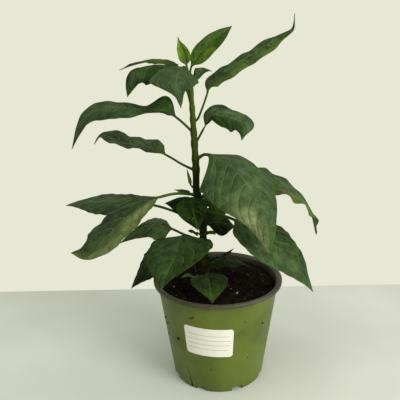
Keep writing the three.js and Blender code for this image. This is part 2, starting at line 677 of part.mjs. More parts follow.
function soilGeometry() {
  const positions = [];
  const indices = [];
  const shrink = 1 / Math.cos(Math.PI / POT_SIDES);
  const inner = (z) => (wallRadius(z) - WALL - 0.6) / shrink;
  const bottom = FOOT_RISE + FLOOR + 0.4;
  positions.push(0, 0, bottom);
  const levels = [
    [FOOT_RADIUS - WALL - 3.5, bottom],
    [inner(bottom + 3.5) - 0.7, bottom + 3.5],
    [inner(52), 52],
  ];
  for (const [radius, z] of levels) {
    for (let k = 0; k < SOIL_SIDES; k += 1) {
      const angle = (2 * Math.PI * k) / SOIL_SIDES;
      positions.push(radius * Math.cos(angle), radius * Math.sin(angle), z);
    }
  }
  for (let i = SOIL_RINGS; i >= 1; i -= 1) {
    const radius = (inner(SOIL_TOP - 2) * i) / SOIL_RINGS;
    for (let k = 0; k < SOIL_SIDES; k += 1) {
      const angle = (2 * Math.PI * k) / SOIL_SIDES;
      const x = radius * Math.cos(angle);
      const y = radius * Math.sin(angle);
      positions.push(x, y, soilHeight(x, y));
    }
  }
  positions.push(0, 0, soilHeight(0, 0));
  const ringCount = levels.length + SOIL_RINGS;
  const first = (r) => 1 + r * SOIL_SIDES;
  for (let k = 0; k < SOIL_SIDES; k += 1) {
    const n = (k + 1) % SOIL_SIDES;
    indices.push(0, first(0) + n, first(0) + k);
    for (let r = 0; r < ringCount - 1; r += 1) {
      indices.push(first(r) + k, first(r) + n, first(r + 1) + n);
      indices.push(first(r) + k, first(r + 1) + n, first(r + 1) + k);
    }
    indices.push(first(ringCount - 1) + k, first(ringCount - 1) + n, first(ringCount));
  }
  let soil = toSolid(closedGeometry(positions, indices));

  const hole = new THREE.CylinderGeometry(STEM_RADII[0] + 0.5, STEM_RADII[0] + 0.5, 60, 16);
  hole.rotateX(Math.PI / 2);
  hole.translate(STEM_LINE[0][0], STEM_LINE[0][1], STEM_LINE[0][2] - 0.4 + 30);
  soil = soil.subtract(toSolid(hole));
  return fromSolid(soil);
}

// ---- assembly --------------------------------------------------------------
add('pot', potGeometry(), colours.pot);
add('label', labelGeometry(), colours.label);
add('soil', soilGeometry(), colours.soil);

let stem = toSolid(stemGeometry(0));
for (const shoot of SHOOTS) {
  const geometry = leafGeometry(shoot, { across: 5, stalkSteps: 2, bladeSteps: 5 });
  stem = stem.add(toSolid(geometry));
}
add('stem', fromSolid(stem), colours.stem);

// Every stalk starts inside the stem and is cut back to a hair's breadth off its skin.
const socket = toSolid(stemGeometry(CLEARANCE));
for (const [name, leaf] of Object.entries(LEAVES)) {
  const size = Math.max(...[leaf.width].flat());
  const large = size > 30 && leaf.line.length > 4;
  const detail = large
    ? { across: 7, stalkSteps: 3, bladeSteps: 12 }
    : { across: 5, stalkSteps: 2, bladeSteps: 8 };
  add(name, fromSolid(toSolid(leafGeometry(leaf, detail)).subtract(socket)), colours.leaf);
}

export default group;
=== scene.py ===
"""Looks of a young chilli pepper plant in a round two-tone pot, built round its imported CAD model.

Shapes are worked out in millimetres and made in metres. +Z is up, and the origin is the middle of
the pot's foot, on the table.
"""

import math
from types import SimpleNamespace

import bmesh
import bpy
import numpy as np
from mathutils import Matrix, Vector, noise


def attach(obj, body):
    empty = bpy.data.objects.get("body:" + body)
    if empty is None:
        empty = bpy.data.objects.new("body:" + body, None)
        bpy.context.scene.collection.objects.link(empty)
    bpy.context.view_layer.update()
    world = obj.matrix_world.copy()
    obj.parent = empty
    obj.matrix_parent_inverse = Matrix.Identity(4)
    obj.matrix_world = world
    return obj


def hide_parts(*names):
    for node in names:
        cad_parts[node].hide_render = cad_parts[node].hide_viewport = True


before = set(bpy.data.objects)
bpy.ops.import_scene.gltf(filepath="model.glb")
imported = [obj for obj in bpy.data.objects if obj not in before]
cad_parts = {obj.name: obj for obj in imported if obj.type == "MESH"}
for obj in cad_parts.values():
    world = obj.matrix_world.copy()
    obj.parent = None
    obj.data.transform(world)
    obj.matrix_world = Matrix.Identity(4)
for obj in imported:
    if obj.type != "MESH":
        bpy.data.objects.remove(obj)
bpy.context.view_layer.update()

MM = 0.001

# ---- pot, label and soil ----
POT_HEIGHT = 112.0
RIM_RADIUS = 70.0
RIM_HEIGHT = 4.0
RIM_MOUTH_RADIUS = 66.8
LIP_RADIUS = 1.3
WALL_TOP_RADIUS = 65.6
FOOT_RADIUS = 50.0
FOOT_RING_WIDTH = 4.0
FOOT_PAD_RADIUS = 19.0
FOOT_RISE = 1.5
WALL = 1.6
FLOOR = 1.8
POT_SIDES = 180
DRAIN_COUNT = 8
DRAIN_WIDTH = 12.0
DRAIN_REACH = 7.0
DRAIN_HEIGHT = 4.5
DRAIN_CORNER = 1.2
DRAIN_FIRST_ANGLE = -23.5
# The crease's ends: angle from the pot's front in degrees, and height.
CREASE_TOP = (-39.7, 29.5)
CREASE_FOOT = (-35.6, 0.0)
CREASE_DEPTH = 1.1
CREASE_WIDTH = 2.6
CREASE_BEND = 0.5
CUT_CLEARANCE = 0.6

# The label's ends are angles from the pot's front, and its tilt is how far it drops in between.
LABEL_FROM = -36.0
LABEL_TO = 12.8
LABEL_MIDDLE = 64.7
LABEL_HEIGHT = 34.0
LABEL_TILT = -1.4
LABEL_CORNER = 3.3
LABEL_THICKNESS = 0.25
LABEL_OFF_WALL = 0.05
LABEL_LINE_SPACING = 5.6
LABEL_LINE_INSET = 3.4

SOIL_TOP = 102.5
SOIL_BACK_RISE = 3.0
SOIL_LUMP = 1.1
SOIL_SIDES = 150
SOIL_RINGS = 60
SOIL_GAP = 0.15
CRUMBS = 900
CRUMB_REACH = 61.5
CRUMB_SEED = 11
SPECK_SEED = 5

# A crumb's tone is 0 for dark, 1 for brown and 2 for pale.
TONE_SHARES = [0.87, 0.11, 0.02]
# The larger crumbs that catch the eye: x, y, size and tone.
MARKED_CRUMBS = [(-47.6, -8.4, 1.6, 2), (19.4, -25.4, 1.7, 2), (50.5, 2.7, 1.3, 1)]
RIM_CRUMBS = 9
RIM_CRUMB_ANGLES = (-13.0, -9.0)
RIM_CRUMB_REACH = 8.0
# Soil specks stuck to the wall: angle from the front in degrees, height, size and tone.
SPECKS = [
    (-68.3, 74.8, 1.5, 0), (-65.0, 69.2, 1.1, 0), (-69.5, 54.0, 1.1, 0), (-46.9, 59.2, 1.7, 0),
    (-25.0, 92.8, 1.8, 1), (-28.5, 91.5, 1.0, 1), (46.8, 77.1, 1.4, 0), (23.5, 87.3, 0.8, 1),
    (7.7, 97.7, 0.7, 1), (-10.0, 30.0, 0.7, 0), (31.0, 40.0, 0.6, 0), (-36.5, 3.0, 1.3, 0),
    (-50.0, 66.0, 0.6, 1), (118.0, 70.0, 1.2, 0), (160.0, 44.0, 0.9, 0),
    (205.0, 82.0, 1.3, 0), (245.0, 60.0, 0.8, 1),
]

# ---- stem ----
STEM_LINE = [
    (-12, 0, 84), (-12, 0, 97), (-13, 0, 116), (-15, 0, 142), (-15, 0, 163), (-15, 0, 182),
    (-18, 0, 196), (-21, 0, 209), (-21, 0, 231), (-22, 0, 256), (-23, 0, 280), (-24, 0, 301),
    (-25, 0, 317), (-26, 0, 328),
]
STEM_RADII = [4.6, 4.4, 3.9, 3.7, 3.6, 3.6, 3.6, 3.6, 3.5, 3.2, 2.6, 2.3, 2.2, 2.2]
NODE_SWELLING = 0.7
NODE_REACH = 4.0
LOWEST_NODES = (108, 116)
STEM_SIDES = 36
STEM_STEPS = 260
STEM_TWIST = 0.004
STEM_TIP_TAPER = (0.9, 0.72, 0.45)
# Heights at which the stem is pale, dark and barky, and where its reddish blush is.
STEM_PALE_ABOVE = 300
STEM_DARK_BELOW = 190
BARK_TOP = 140
BARK_FOOT = 104
BLUSH_HEIGHT = 125
BLUSH_SIDE = 200

# ---- leaves ----
# Half-width of a blade, in per cent of half its full width, at nine even stops between its base
# and its tip, where it is 0.
OUTLINES = {
    "egg": [65, 89, 99, 99, 92, 79, 61, 40, 19],
    "round": [75, 95, 100, 96, 86, 71, 53, 33, 14],
    "full": [52, 84, 98, 100, 95, 84, 66, 43, 19],
    "strap": [55, 88, 100, 100, 98, 92, 80, 60, 32],
    "tail": [55, 88, 100, 98, 92, 80, 60, 34, 14],
    "wing": [36, 52, 66, 84, 100, 76, 36, 16, 8],
    "cape": [75, 100, 100, 100, 92, 72, 42, 22, 12],
    "flap": [20, 50, 66, 62, 54, 45, 36, 25, 12],
    "ribbon": [90, 95, 100, 100, 100, 100, 85, 40, 14],
    "hump": [100, 60, 30, 62, 70, 76, 70, 54, 30],
    "swag": [45, 30, 45, 92, 100, 98, 80, 52, 22],
    "crest": [12, 84, 92, 88, 82, 82, 86, 88, 20],
    "drape": [10, 35, 50, 65, 80, 95, 100, 84, 48],
    "blunt": [60, 90, 100, 100, 100, 100, 95, 80, 45],
    "lobe": [92, 98, 100, 100, 92, 78, 60, 40, 20],
    "lean": [70, 94, 100, 100, 96, 87, 70, 48, 24],
    "slope": [52, 84, 98, 100, 90, 72, 42, 16, 6],
    "ragged": [52, 84, 96, 100, 100, 100, 100, 92, 50],
    "hem": [35, 62, 82, 92, 100, 100, 95, 75, 35],
    "corner": [90, 100, 97, 88, 75, 60, 44, 28, 12],
    "apron": [72, 95, 100, 93, 80, 62, 43, 26, 11],
    "skirt": [60, 74, 78, 80, 84, 86, 78, 56, 27],
}

# Each leaf: the line of its stalk and midrib from the stem to the tip, the stop where the blade
# starts, its width and outline, how far it is rolled about its rib and folded up (+) or down (-),
# in degrees, and how deep and how many its edge waves are. Width, outline and fold are one for
# both sides, or one for each. A roll or fold may be a list, at even stops along the blade. Quilt
# is how far the blade swells between its side veins, and dark is how deep the painted shade over
# the whole leaf is, 0..1. A tint is a soft patch of another colour, which for the sheen is a
# painted reflection and for the shade is painted shade: name, place along 0..1, place across
# -1..1, reach along, reach across, and amount.
USUAL_LEAF = dict(blade=1, roll=0, outline="egg", wave=0.02, waves=3, quilt=0.7, tints=[], dark=0)
LEAVES = {
    "leaf_01": dict(
        line=[(-26, 0, 324), (-28, 0, 334), (-30, 1, 344), (-34, 2, 354), (-36, 3, 361)],
        width=[13, 12], roll=75, fold=20, outline="tail", quilt=0.5,
        tints=[("young", 0.4, 0, 2, 2, 1.0)],
    ),
    "leaf_02": dict(
        line=[(-25, 0, 322), (-24, 2, 332), (-17, 5, 343), (-6, 9, 354), (6, 13, 363),
              (17, 17, 371)],
        width=[16, 20], roll=[-60, -55, -50], fold=12, outline="strap", wave=0.04, waves=4,
        quilt=0.8, tints=[("young", 0.3, 0, 0.7, 2, 0.8)], dark=0.2,
    ),
    "leaf_03": dict(
        line=[(-26, 0, 320), (-35, 5, 332), (-47, 14, 336), (-66, 24, 339), (-84, 33, 336),
              (-100, 40, 331)],
        width=[46, 26], roll=[1, 7, 8], fold=5, outline="tail", wave=0.03, quilt=0.6,
        tints=[("young", 0.2, 0, 0.8, 2, 0.7)], dark=0.3,
    ),
    "leaf_04": dict(
        line=[(-24, 0, 293), (-28, -4, 310), (-36, -8, 331), (-50, -12, 334), (-65, -16, 333),
              (-76, -20, 330), (-82, -23, 322), (-84, -25, 307)],
        blade=2, width=[34, 20], fold=[[-60, -64, -55], 10], outline="strap",
        wave=0.03, tints=[("sheen", 0.72, -0.35, 0.25, 0.6, 0.6)], dark=0.3,
    ),
    "leaf_05": dict(
        line=[(-25, 0, 309), (-26, -4, 325), (-30, -16, 333), (-36, -33, 327), (-36, -44, 317),
              (-34, -49, 307), (-33, -51, 298)],
        blade=2, width=[40, 50], fold=[-35, 12], outline=["cape", "wing"], wave=0.03,
        tints=[("sheen", 0.35, 0.2, 0.6, 1.2, 0.7)], dark=0.22,
    ),
    "leaf_06": dict(
        line=[(-25, 0, 312), (-21, -4, 323), (-19, -9, 331), (-14, -13, 332), (-9, -15, 331),
              (-4, -17, 329)],
        blade=2, width=[12, 45], fold=[0, [-55, -55, -15]], outline=["round", "flap"],
        tints=[("sheen", 0.3, 0.2, 0.5, 1, 0.6)],
    ),
    "leaf_07": dict(
        line=[(-22, 0, 282), (-18, 1, 283), (-9, 4, 305), (-5, 6, 318), (13, 10, 330),
              (33, 16, 342), (58, 22, 356), (74, 24, 364), (79, 24, 369), (80, 25, 382)],
        blade=2, width=[26, 18], roll=[-10, -5, -5], fold=[[0, 0, 15], [-50, -60, -40]],
        outline="ribbon", wave=0.06, waves=5, tints=[("warm", 0.5, 0.9, 0.6, 0.5, 0.3)],
    ),
    "leaf_08": dict(
        line=[(-23, 0, 269), (-37, -4, 283), (-50, -9, 292), (-65, -16, 294), (-85, -24, 297),
              (-105, -30, 298), (-124, -34, 289), (-137, -38, 261)],
        width=[34, 40], fold=[[-30, -20, -30, -30, -30], [72, 25, 15, 15, 10]],
        outline=["swag", "hump"], wave=0.03, tints=[("sheen", 0.5, -0.2, 0.4, 0.8, 0.4)],
        dark=0.25,
    ),
    "leaf_09": dict(
        line=[(-21, 0, 258), (-14, -5, 271), (-8, -9, 283), (-3, -12, 288), (7, -18, 287),
              (17, -23, 285), (25, -28, 279), (26, -31, 272), (23, -32, 265)],
        width=[30, 28], fold=[[75, 30, 10], [-60, -60, -40]],
        outline=["crest", "drape"], wave=0.05,
        tints=[("sheen", 0.45, -0.35, 0.45, 0.45, 0.9), ("shade", 0.5, 0.75, 0.6, 0.4, 0.85)],
    ),
    "leaf_10": dict(
        line=[(-24, 0, 231), (-36, 5, 236), (-50, 9, 244), (-69, 16, 252), (-95, 24, 256),
              (-113, 30, 262), (-124, 32, 262), (-131, 33, 254)],
        blade=2, width=[36, 34], fold=[0, [25, 15, 20]], outline="blunt",
        wave=0.06, waves=4, tints=[("sheen", 0.3, 0.5, 0.3, 0.6, 0.4)], dark=0.17,
    ),
    "leaf_11": dict(
        line=[(-20, 0, 242), (-10, -8, 248), (8, -24, 243), (22, -38, 232), (33, -50, 218),
              (40, -58, 204), (44, -63, 188), (46, -66, 163)],
        width=[70, 76], roll=[-50, -45, -40], fold=[[-50, -50, -50, -50, -25], -5],
        outline=["lean", "lobe"],
        tints=[("pale", 0.8, 0.6, 0.22, 0.45, 0.85), ("sheen", 0.4, 0, 0.5, 1.2, 0.6)],
    ),
    "leaf_12": dict(
        line=[(-19, 0, 198), (-1, 8, 212), (26, 16, 225), (61, 24, 214), (88, 28, 198),
              (105, 30, 177), (114, 30, 146)],
        blade=2, width=[38, 66], roll=[-25, -15, -10], fold=0, outline=["slope", "ragged"],
        wave=0.08, waves=5,
        tints=[("warm", 0.6, 0.9, 0.5, 0.4, 0.6), ("sheen", 0.5, 0.1, 0.5, 0.6, 0.4)],
    ),
    "leaf_13": dict(
        line=[(-15, 0, 187), (-2, -5, 185), (14, -11, 181), (33, -24, 175), (51, -36, 164),
              (66, -44, 153), (79, -49, 140), (88, -51, 125), (93, -52, 116)],
        blade=2, width=[78, 62], roll=-5, fold=-5, outline="full",
        tints=[("sheen", 0.45, 0.6, 0.5, 0.7, 0.6)],
    ),
    "leaf_14": dict(
        line=[(-15, 0, 166), (-35, 6, 179), (-50, 10, 185), (-69, 16, 189), (-95, 24, 190),
              (-125, 32, 190), (-149, 38, 187), (-171, 42, 183)],
        blade=3, width=[58, 43], fold=[-15, 8], outline=["full", "strap"],
        tints=[("sheen", 0.45, 0.2, 0.4, 0.5, 0.45)], dark=0.1,
    ),
    "leaf_15": dict(
        line=[(-21, 0, 204), (-40, -8, 208), (-55, -14, 207), (-71, -23, 204), (-86, -35, 196),
              (-96, -43, 188), (-108, -50, 178), (-118, -56, 170), (-129, -60, 164),
              (-140, -63, 167)],
        blade=2, width=[54, 62], fold=0, outline=["hem", "blunt"], wave=0.03, waves=4,
        tints=[("warm", 0.45, -0.65, 0.5, 0.45, 0.65), ("pale", 0.35, -0.6, 0.22, 0.35, 0.5),
               ("pale", 0.75, -0.8, 0.2, 0.3, 0.5)],
    ),
    "leaf_16": dict(
        line=[(-15, 0, 153), (-33, -2, 160), (-46, -3, 167), (-58, -4, 173), (-76, -5, 173),
              (-105, -8, 154)],
        blade=2, width=[48, 40], fold=[-25, 0], outline="corner",
        tints=[("warm", 0.4, 0.8, 0.6, 0.6, 0.5), ("sheen", 0.5, 0, 1, 2, 0.5)],
    ),
    "leaf_17": dict(
        line=[(-15, 0, 145), (-26, -8, 159), (-35, -17, 165), (-38, -38, 166), (-43, -62, 159),
              (-50, -76, 148), (-55, -86, 138)],
        blade=2, width=[66, 72], fold=[0, -5], outline=["apron", "skirt"],
        tints=[("sheen", 0.4, 0.3, 0.6, 0.9, 0.5)], dark=0.3,
    ),
    "leaf_18": dict(
        line=[(-15, 0, 137), (-28, 4, 141), (-46, 6, 145), (-67, 4, 137), (-84, 0, 116),
              (-95, -4, 100)],
        blade=2, width=[64, 56], fold=[-15, 5], dark=0.5,
    ),
    "leaf_19": dict(
        line=[(-13, 0, 112), (-12, -10, 119), (-10, -26, 118), (-8, -42, 114), (-7, -54, 107)],
        width=39, fold=5, outline="full", quilt=0.5,
        tints=[("young", 1.0, 0, 0.25, 1, 0.8)], dark=0.25,
    ),
    "leaf_20": dict(
        line=[(-15, 0, 168), (-11, 5, 169), (-2, 13, 169), (10, 22, 165), (22, 31, 157)],
        width=[38, 32], roll=-45, fold=[0, -10], outline=["round", "full"], dark=0.6,
    ),
    "leaf_21": dict(
        line=[(-19, 0, 198), (-26, -8, 203), (-27, -14, 200), (-24, -22, 190), (-20, -27, 174)],
        width=32, fold=5, quilt=0.4, dark=0.32,
    ),
    "leaf_22": dict(
        line=[(-13, 0, 119), (-4, 10, 124), (9, 18, 121), (26, 26, 117), (38, 29, 109)],
        width=[16, 30], fold=[0, -10], quilt=0.4, dark=0.5,
    ),
    "leaf_23": dict(
        line=[(-15, 0, 183), (-11, 6, 190), (-2, 12, 191), (9, 17, 187), (19, 22, 180)],
        width=[20, 34], roll=-45, fold=[0, -10], outline="lobe", quilt=0.5,
        tints=[("warm", 0.5, 0, 1, 1, 0.6)], dark=0.4,
    ),
    "leaf_24": dict(
        line=[(-16, 0, 180), (-24, 4, 191), (-34, 8, 196), (-45, 12, 195), (-56, 16, 191)],
        width=[36, 20], fold=[-48, 5], outline=["egg", "round"], quilt=0.4, dark=0.6,
    ),
    "leaf_25": dict(
        line=[(-13, 0, 116), (-8, -5, 128), (-1, -10, 132), (6, -16, 128)],
        width=26, fold=[5, -20], outline="round", quilt=0.4, dark=0.6,
    ),
    "leaf_26": dict(
        line=[(-14, 0, 126), (-5, 16, 126), (9, 34, 120), (21, 46, 125)],
        width=12, fold=15, quilt=0.3, dark=0.6,
    ),
}

# Small side shoots and the seed leaf, which grow from the stem.
SHOOTS = [
    dict(line=[(-22, 0, 209), (-27, -3, 216), (-29, -5, 224), (-30, -6, 233)], width=9,
         roll=20, fold=20),
    dict(line=[(-16, -1, 188), (-10, -4, 197), (-11, -5, 206), (-16, -4, 214)], width=9, fold=20),
    dict(line=[(-15, -1, 158), (-21, -6, 164), (-27, -9, 169), (-31, -10, 168)], width=17,
         fold=-25),
    dict(line=[(-15, -1, 158), (-11, -6, 165), (-6, -11, 168), (-2, -15, 165)], width=17,
         fold=-25),
    dict(line=[(-20, 1, 201), (-28, 6, 203), (-36, 11, 205), (-45, 16, 206)], width=12, fold=5),
    dict(line=[(-13, -1, 107), (-25, -7, 114), (-32, -10, 117), (-40, -12, 116)], width=10,
         fold=5, tints=[("young", 0.6, 0, 2, 2, 0.8)]),
]

LEAF_GLOSS = (0.9, 1.0, 0.8, 1.0)
# Leaves with more painted shade than this, and the side shoots, wear the duller shaded leaf skin.
DULL_FROM_DARK = 0.28
LEAF_THICKNESS = 0.5
EDGE_THICKNESS = 0.3
TIP_HALF_WIDTH = 0.35
RIB_DEPTH = 0.7
RIB_REACH = 1.1
GROOVE_DEPTH = 0.45
GROOVE_REACH = 1.6
SHOOT_QUILT = 0.2
QUILT_REACH = 2.0
VEIN_SPACING = 15.0
FRILL_DEPTH = 0.012
FRILL_WAVES = 9.3
BACK_WAVE_SHIFT = 0.37
STALK_RADII = (0.8, 1.5)
STALK_STEP = 2.5
STALK_FOOT_SWELL = 0.45
STALK_FOOT_REACH = 5.0

# The share of the blade over which the round stalk flattens out, and where its first row lies.
BLADE_EASE = 0.14
BLADE_FIRST_ROW = 0.012
# Wide, middling and small blades: least width, points across and spacing of the rows.
BLADE_GRIDS = [(44, 65, 0.9), (24, 49, 0.9), (0, 25, 1.0)]


# ---- curves ----
def catmull_rom(a, b, c, d, f):
    cubic = (3 * b - a - 3 * c + d) * f**3
    return 0.5 * (2 * b + (c - a) * f + (2 * a - 5 * b + 4 * c - d) * f**2 + cubic)


def smoothstep(x, low, high):
    f = np.clip((x - low) / (high - low), 0, 1)
    return f * f * (3 - 2 * f)


def smooth_line(stops, steps=24):
    """A fine polyline through the stops: its points, running length, and length at each stop."""
    p = np.array(stops, float)
    p = np.vstack([2 * p[0] - p[1], p, 2 * p[-1] - p[-2]])
    f = (np.arange(steps) / steps)[:, None]
    runs = [catmull_rom(p[i - 1], p[i], p[i + 1], p[i + 2], f) for i in range(1, len(p) - 2)]
    points = np.vstack(runs + [p[-2][None]])
    length = np.concatenate([[0], np.cumsum(np.linalg.norm(np.diff(points, axis=0), axis=1))])
    return points, length, length[::steps]


def along(values, length, distance):
    """Rows of values, given at the running length, read at other distances."""
    return np.stack([np.interp(distance, length, values[:, k]) for k in range(3)], -1)


def unit(v):
    """Directions of length 1."""
    return v / np.maximum(np.linalg.norm(v, axis=-1, keepdims=True), 1e-12)


def eased(values, t):
    """A value, or values at even stops of 0..1 with eased steps between them, read at t."""
    v = np.atleast_1d(np.array(values, float))
    if len(v) == 1:
        return np.full_like(t, v[0])
    x = t * (len(v) - 1)
    i = np.clip(np.floor(x).astype(int), 0, len(v) - 2)
    f = smoothstep(x - i, 0, 1)
    return v[i] * (1 - f) + v[i + 1] * f


def half_width(name, t):
    """An outline's half-width at t."""
    v = OUTLINES[name]
    stops = np.array([-v[0], 0, *v, 0, -v[-1]]) / 100
    x = np.clip(t * (len(v) + 1), 0, len(v) + 1 - 1e-9)
    i = np.floor(x).astype(int)
    return np.maximum(catmull_rom(stops[i], stops[i + 1], stops[i + 2], stops[i + 3], x - i), 0)


def carried_sides(points, tangents, base):
    """Side directions that start level at the blade's base and are carried without twisting."""
    sides = np.zeros_like(points)
    sides[base] = unit(np.cross(tangents[base], (0, 0, 1)))
    ahead = [(k, k + 1) for k in range(base, len(points) - 1)]
    behind = [(k, k - 1) for k in range(base, 0, -1)]
    for here, there in ahead + behind:
        sides[there] = unit(sides[here] - tangents[there] * (sides[here] @ tangents[there]))
    return sides


# ---- meshes ----
def band_faces(rows, ring):
    """Faces that join rows of ring points into an open tube."""
    i, j = np.meshgrid(np.arange(rows - 1), np.arange(ring), indexing="ij")
    a, b = i * ring + j, i * ring + (j + 1) % ring
    return np.stack([a, b, b + ring, a + ring], -1).reshape(-1, 4).tolist()


def capped_tube(rows):
    """Points and faces of a closed tube through rows of ring points, with flat ends."""
    rows = np.array(rows, float)
    count, ring = rows.shape[:2]
    end = (count - 1) * ring
    caps = [list(reversed(range(ring))), list(range(end, end + ring))]
    return rows.reshape(-1, 3), band_faces(count, ring) + caps


def closed_skin(top, bottom):
    """Points and faces of one closed skin over rows of upper and lower points."""
    skin = both_skins(top, bottom)
    rows, ring = skin.shape[:2]
    faces = band_faces(rows, ring)
    end = (rows - 1) * ring
    for k in range(ring // 2 - 1):
        below = ring - 1 - k
        faces.append([k, below, below - 1, k + 1])
        faces.append([end + k, end + k + 1, end + below - 1, end + below])
    return skin.reshape(-1, 3), faces


def both_skins(top, bottom):
    """Rows of values in the order of a closed skin's points."""
    return np.concatenate([top, bottom[:, ::-1]], axis=1)


def merged(solids):
    """The points and faces of several solids as those of one."""
    points, faces = [], []
    for own_points, own_faces in solids:
        start = len(points)
        points.extend(own_points)
        faces.extend([start + k for k in face] for face in own_faces)
    return points, faces


def new_object(name, points, faces, materials=(), smooth=True):
    """A mesh object from points in millimetres."""
    mesh = bpy.data.meshes.new(name)
    mesh.from_pydata((np.asarray(points, float) * MM).tolist(), [], faces)
    mesh.update()
    if smooth:
        mesh.shade_smooth()
    for material in materials:
        mesh.materials.append(material)
    made = bpy.data.objects.new(name, mesh)
    bpy.context.scene.collection.objects.link(made)
    return made


def store(made, name, values):
    """Keeps a value for each point, which a material reads by its name."""
    attribute = made.data.attributes.new(name, "FLOAT", "POINT")
    attribute.data.foreach_set("value", np.asarray(values, np.float32).ravel())


def keep_piece(made, slot, *nodes):
    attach(made, "root")
    if nodes:
        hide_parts(*nodes)
    return made


# ---- leaves ----
def vein_phase(t, u, slim, count):
    """A whole number at each side vein, which leans forward from the rib and curves to the tip."""
    out = np.abs(u)
    lean = slim * (0.72 * out + 0.42 * out**3)
    wobble = 0.16 * np.sin(5.3 * t * count / 4 + 2 * np.sign(u)) + 0.05 * np.sin(11 * out + 5 * t)
    return count * (t - lean) + 0.25 * np.tanh(u / 0.1) + wobble * out


def tint(leaf, name, t, u):
    """How much of a tint lies at each place, from the leaf's own list of soft patches."""
    amount = np.zeros_like(t * u)
    for kind, t0, u0, reach_t, reach_u, strength in leaf["tints"]:
        if kind == name:
            far = ((t - t0) / reach_t) ** 2 + ((u - u0) / reach_u) ** 2
            amount = np.maximum(amount, strength * np.exp(-far))
    return amount


def leaf_spine(leaf, row_step):
    """The rows of a leaf, from the stem to its tip: their distance, place and own axes."""
    points, length, stop_length = smooth_line(leaf["line"])
    tangents = unit(np.gradient(points, axis=0))
    base = stop_length[leaf["blade"]]
    blade = length[-1] - base
    sides = carried_sides(points, tangents, int(np.searchsorted(length, base)))
    stalk_rows = max(4, int(base / STALK_STEP))
    blade_rows = max(24, int(blade / row_step))
    distance = np.concatenate([
        np.linspace(0, base, stalk_rows, endpoint=False),
        base + blade * np.linspace(BLADE_FIRST_ROW, 1, blade_rows + 1),
    ])
    t = np.clip((distance - base) / blade, 0, 1)
    tangent = unit(along(tangents, length, distance))
    level = along(sides, length, distance)
    level = unit(level - tangent * (level * tangent).sum(1, keepdims=True))
    lift = np.cross(level, tangent)
    roll = np.radians(eased(leaf["roll"], t))[:, None]
    return SimpleNamespace(
        distance=distance, base=base, blade=blade, t=t,
        centre=along(points, length, distance),
        side=level * np.cos(roll) + lift * np.sin(roll),
        up=lift * np.cos(roll) - level * np.sin(roll),
    )


def each_side(value):
    """A value for both sides of a leaf, or one for each, as two."""
    return value if isinstance(value, list) else [value, value]


def blade_sheet(leaf, spine, widths, stalk, t, u):
    """The folded and waved blade without thickness: half-widths, reach from the rib, points."""
    back = u > 0
    outlines = each_side(leaf["outline"])
    profiles = np.stack([half_width(outline, spine.t) for outline in outlines], -1)
    least = np.where(spine.t > 0.5, TIP_HALF_WIDTH, stalk)
    half = np.maximum(profiles * widths / 2, least[:, None])
    half = np.where(back, half[:, 1:], half[:, :1])
    folds = [np.radians(eased(f, spine.t)) for f in each_side(leaf["fold"])]
    fold = np.where(back, folds[1][:, None], folds[0][:, None])
    phase = leaf["waves"] * t + np.where(back, BACK_WAVE_SHIFT, 0)
    wave = leaf["wave"] * half * u**2 * np.sin(2 * np.pi * phase)
    frill = FRILL_DEPTH * half * u**4 * np.sin(2 * np.pi * (FRILL_WAVES * t + 0.2 * u))
    reach = half * np.abs(u)
    x = np.sign(u) * reach * np.cos(fold)
    z = reach * np.sin(fold) + wave + frill
    across = spine.side[:, None] * x[..., None]
    return half, reach, spine.centre[:, None] + across + spine.up[:, None] * z[..., None]


def sheet_normals(sheet, up):
    """The sheet's upper normals. Where it is folded sharply, the leaf's own up stands in."""
    n = unit(np.cross(np.gradient(sheet, axis=1), np.gradient(sheet, axis=0)))
    upright = (n * up[:, None]).sum(-1, keepdims=True) > 0.2
    return np.where(upright, n, up[:, None])


def leaf_relief(quilt, to_vein, reach, margin, t):
    """How far the blade swells between its side veins and sinks along its rib."""
    fade = smoothstep(reach, 0, 3) * smoothstep(margin, 0, 4) * (1 - smoothstep(t, 0.88, 1))
    swell = quilt * (1 - np.exp(-((to_vein / QUILT_REACH) ** 2))) * fade
    groove = GROOVE_DEPTH * np.exp(-((reach / GROOVE_REACH) ** 2)) * (1 - 0.6 * t)
    return swell - groove


def stalk_ring(spine, stalk, across):
    """The round stalk's sideways and upward offsets, swollen where it leaves the stem."""
    angle = np.pi * (1 - (np.arange(across) + 0.5) / across)
    swell = stalk * (1 + STALK_FOOT_SWELL * np.exp(-spine.distance / STALK_FOOT_REACH))
    sideways = np.outer(swell, np.cos(angle))[..., None] * spine.side[:, None]
    upward = np.outer(swell, np.sin(angle))[..., None] * spine.up[:, None]
    return sideways, upward


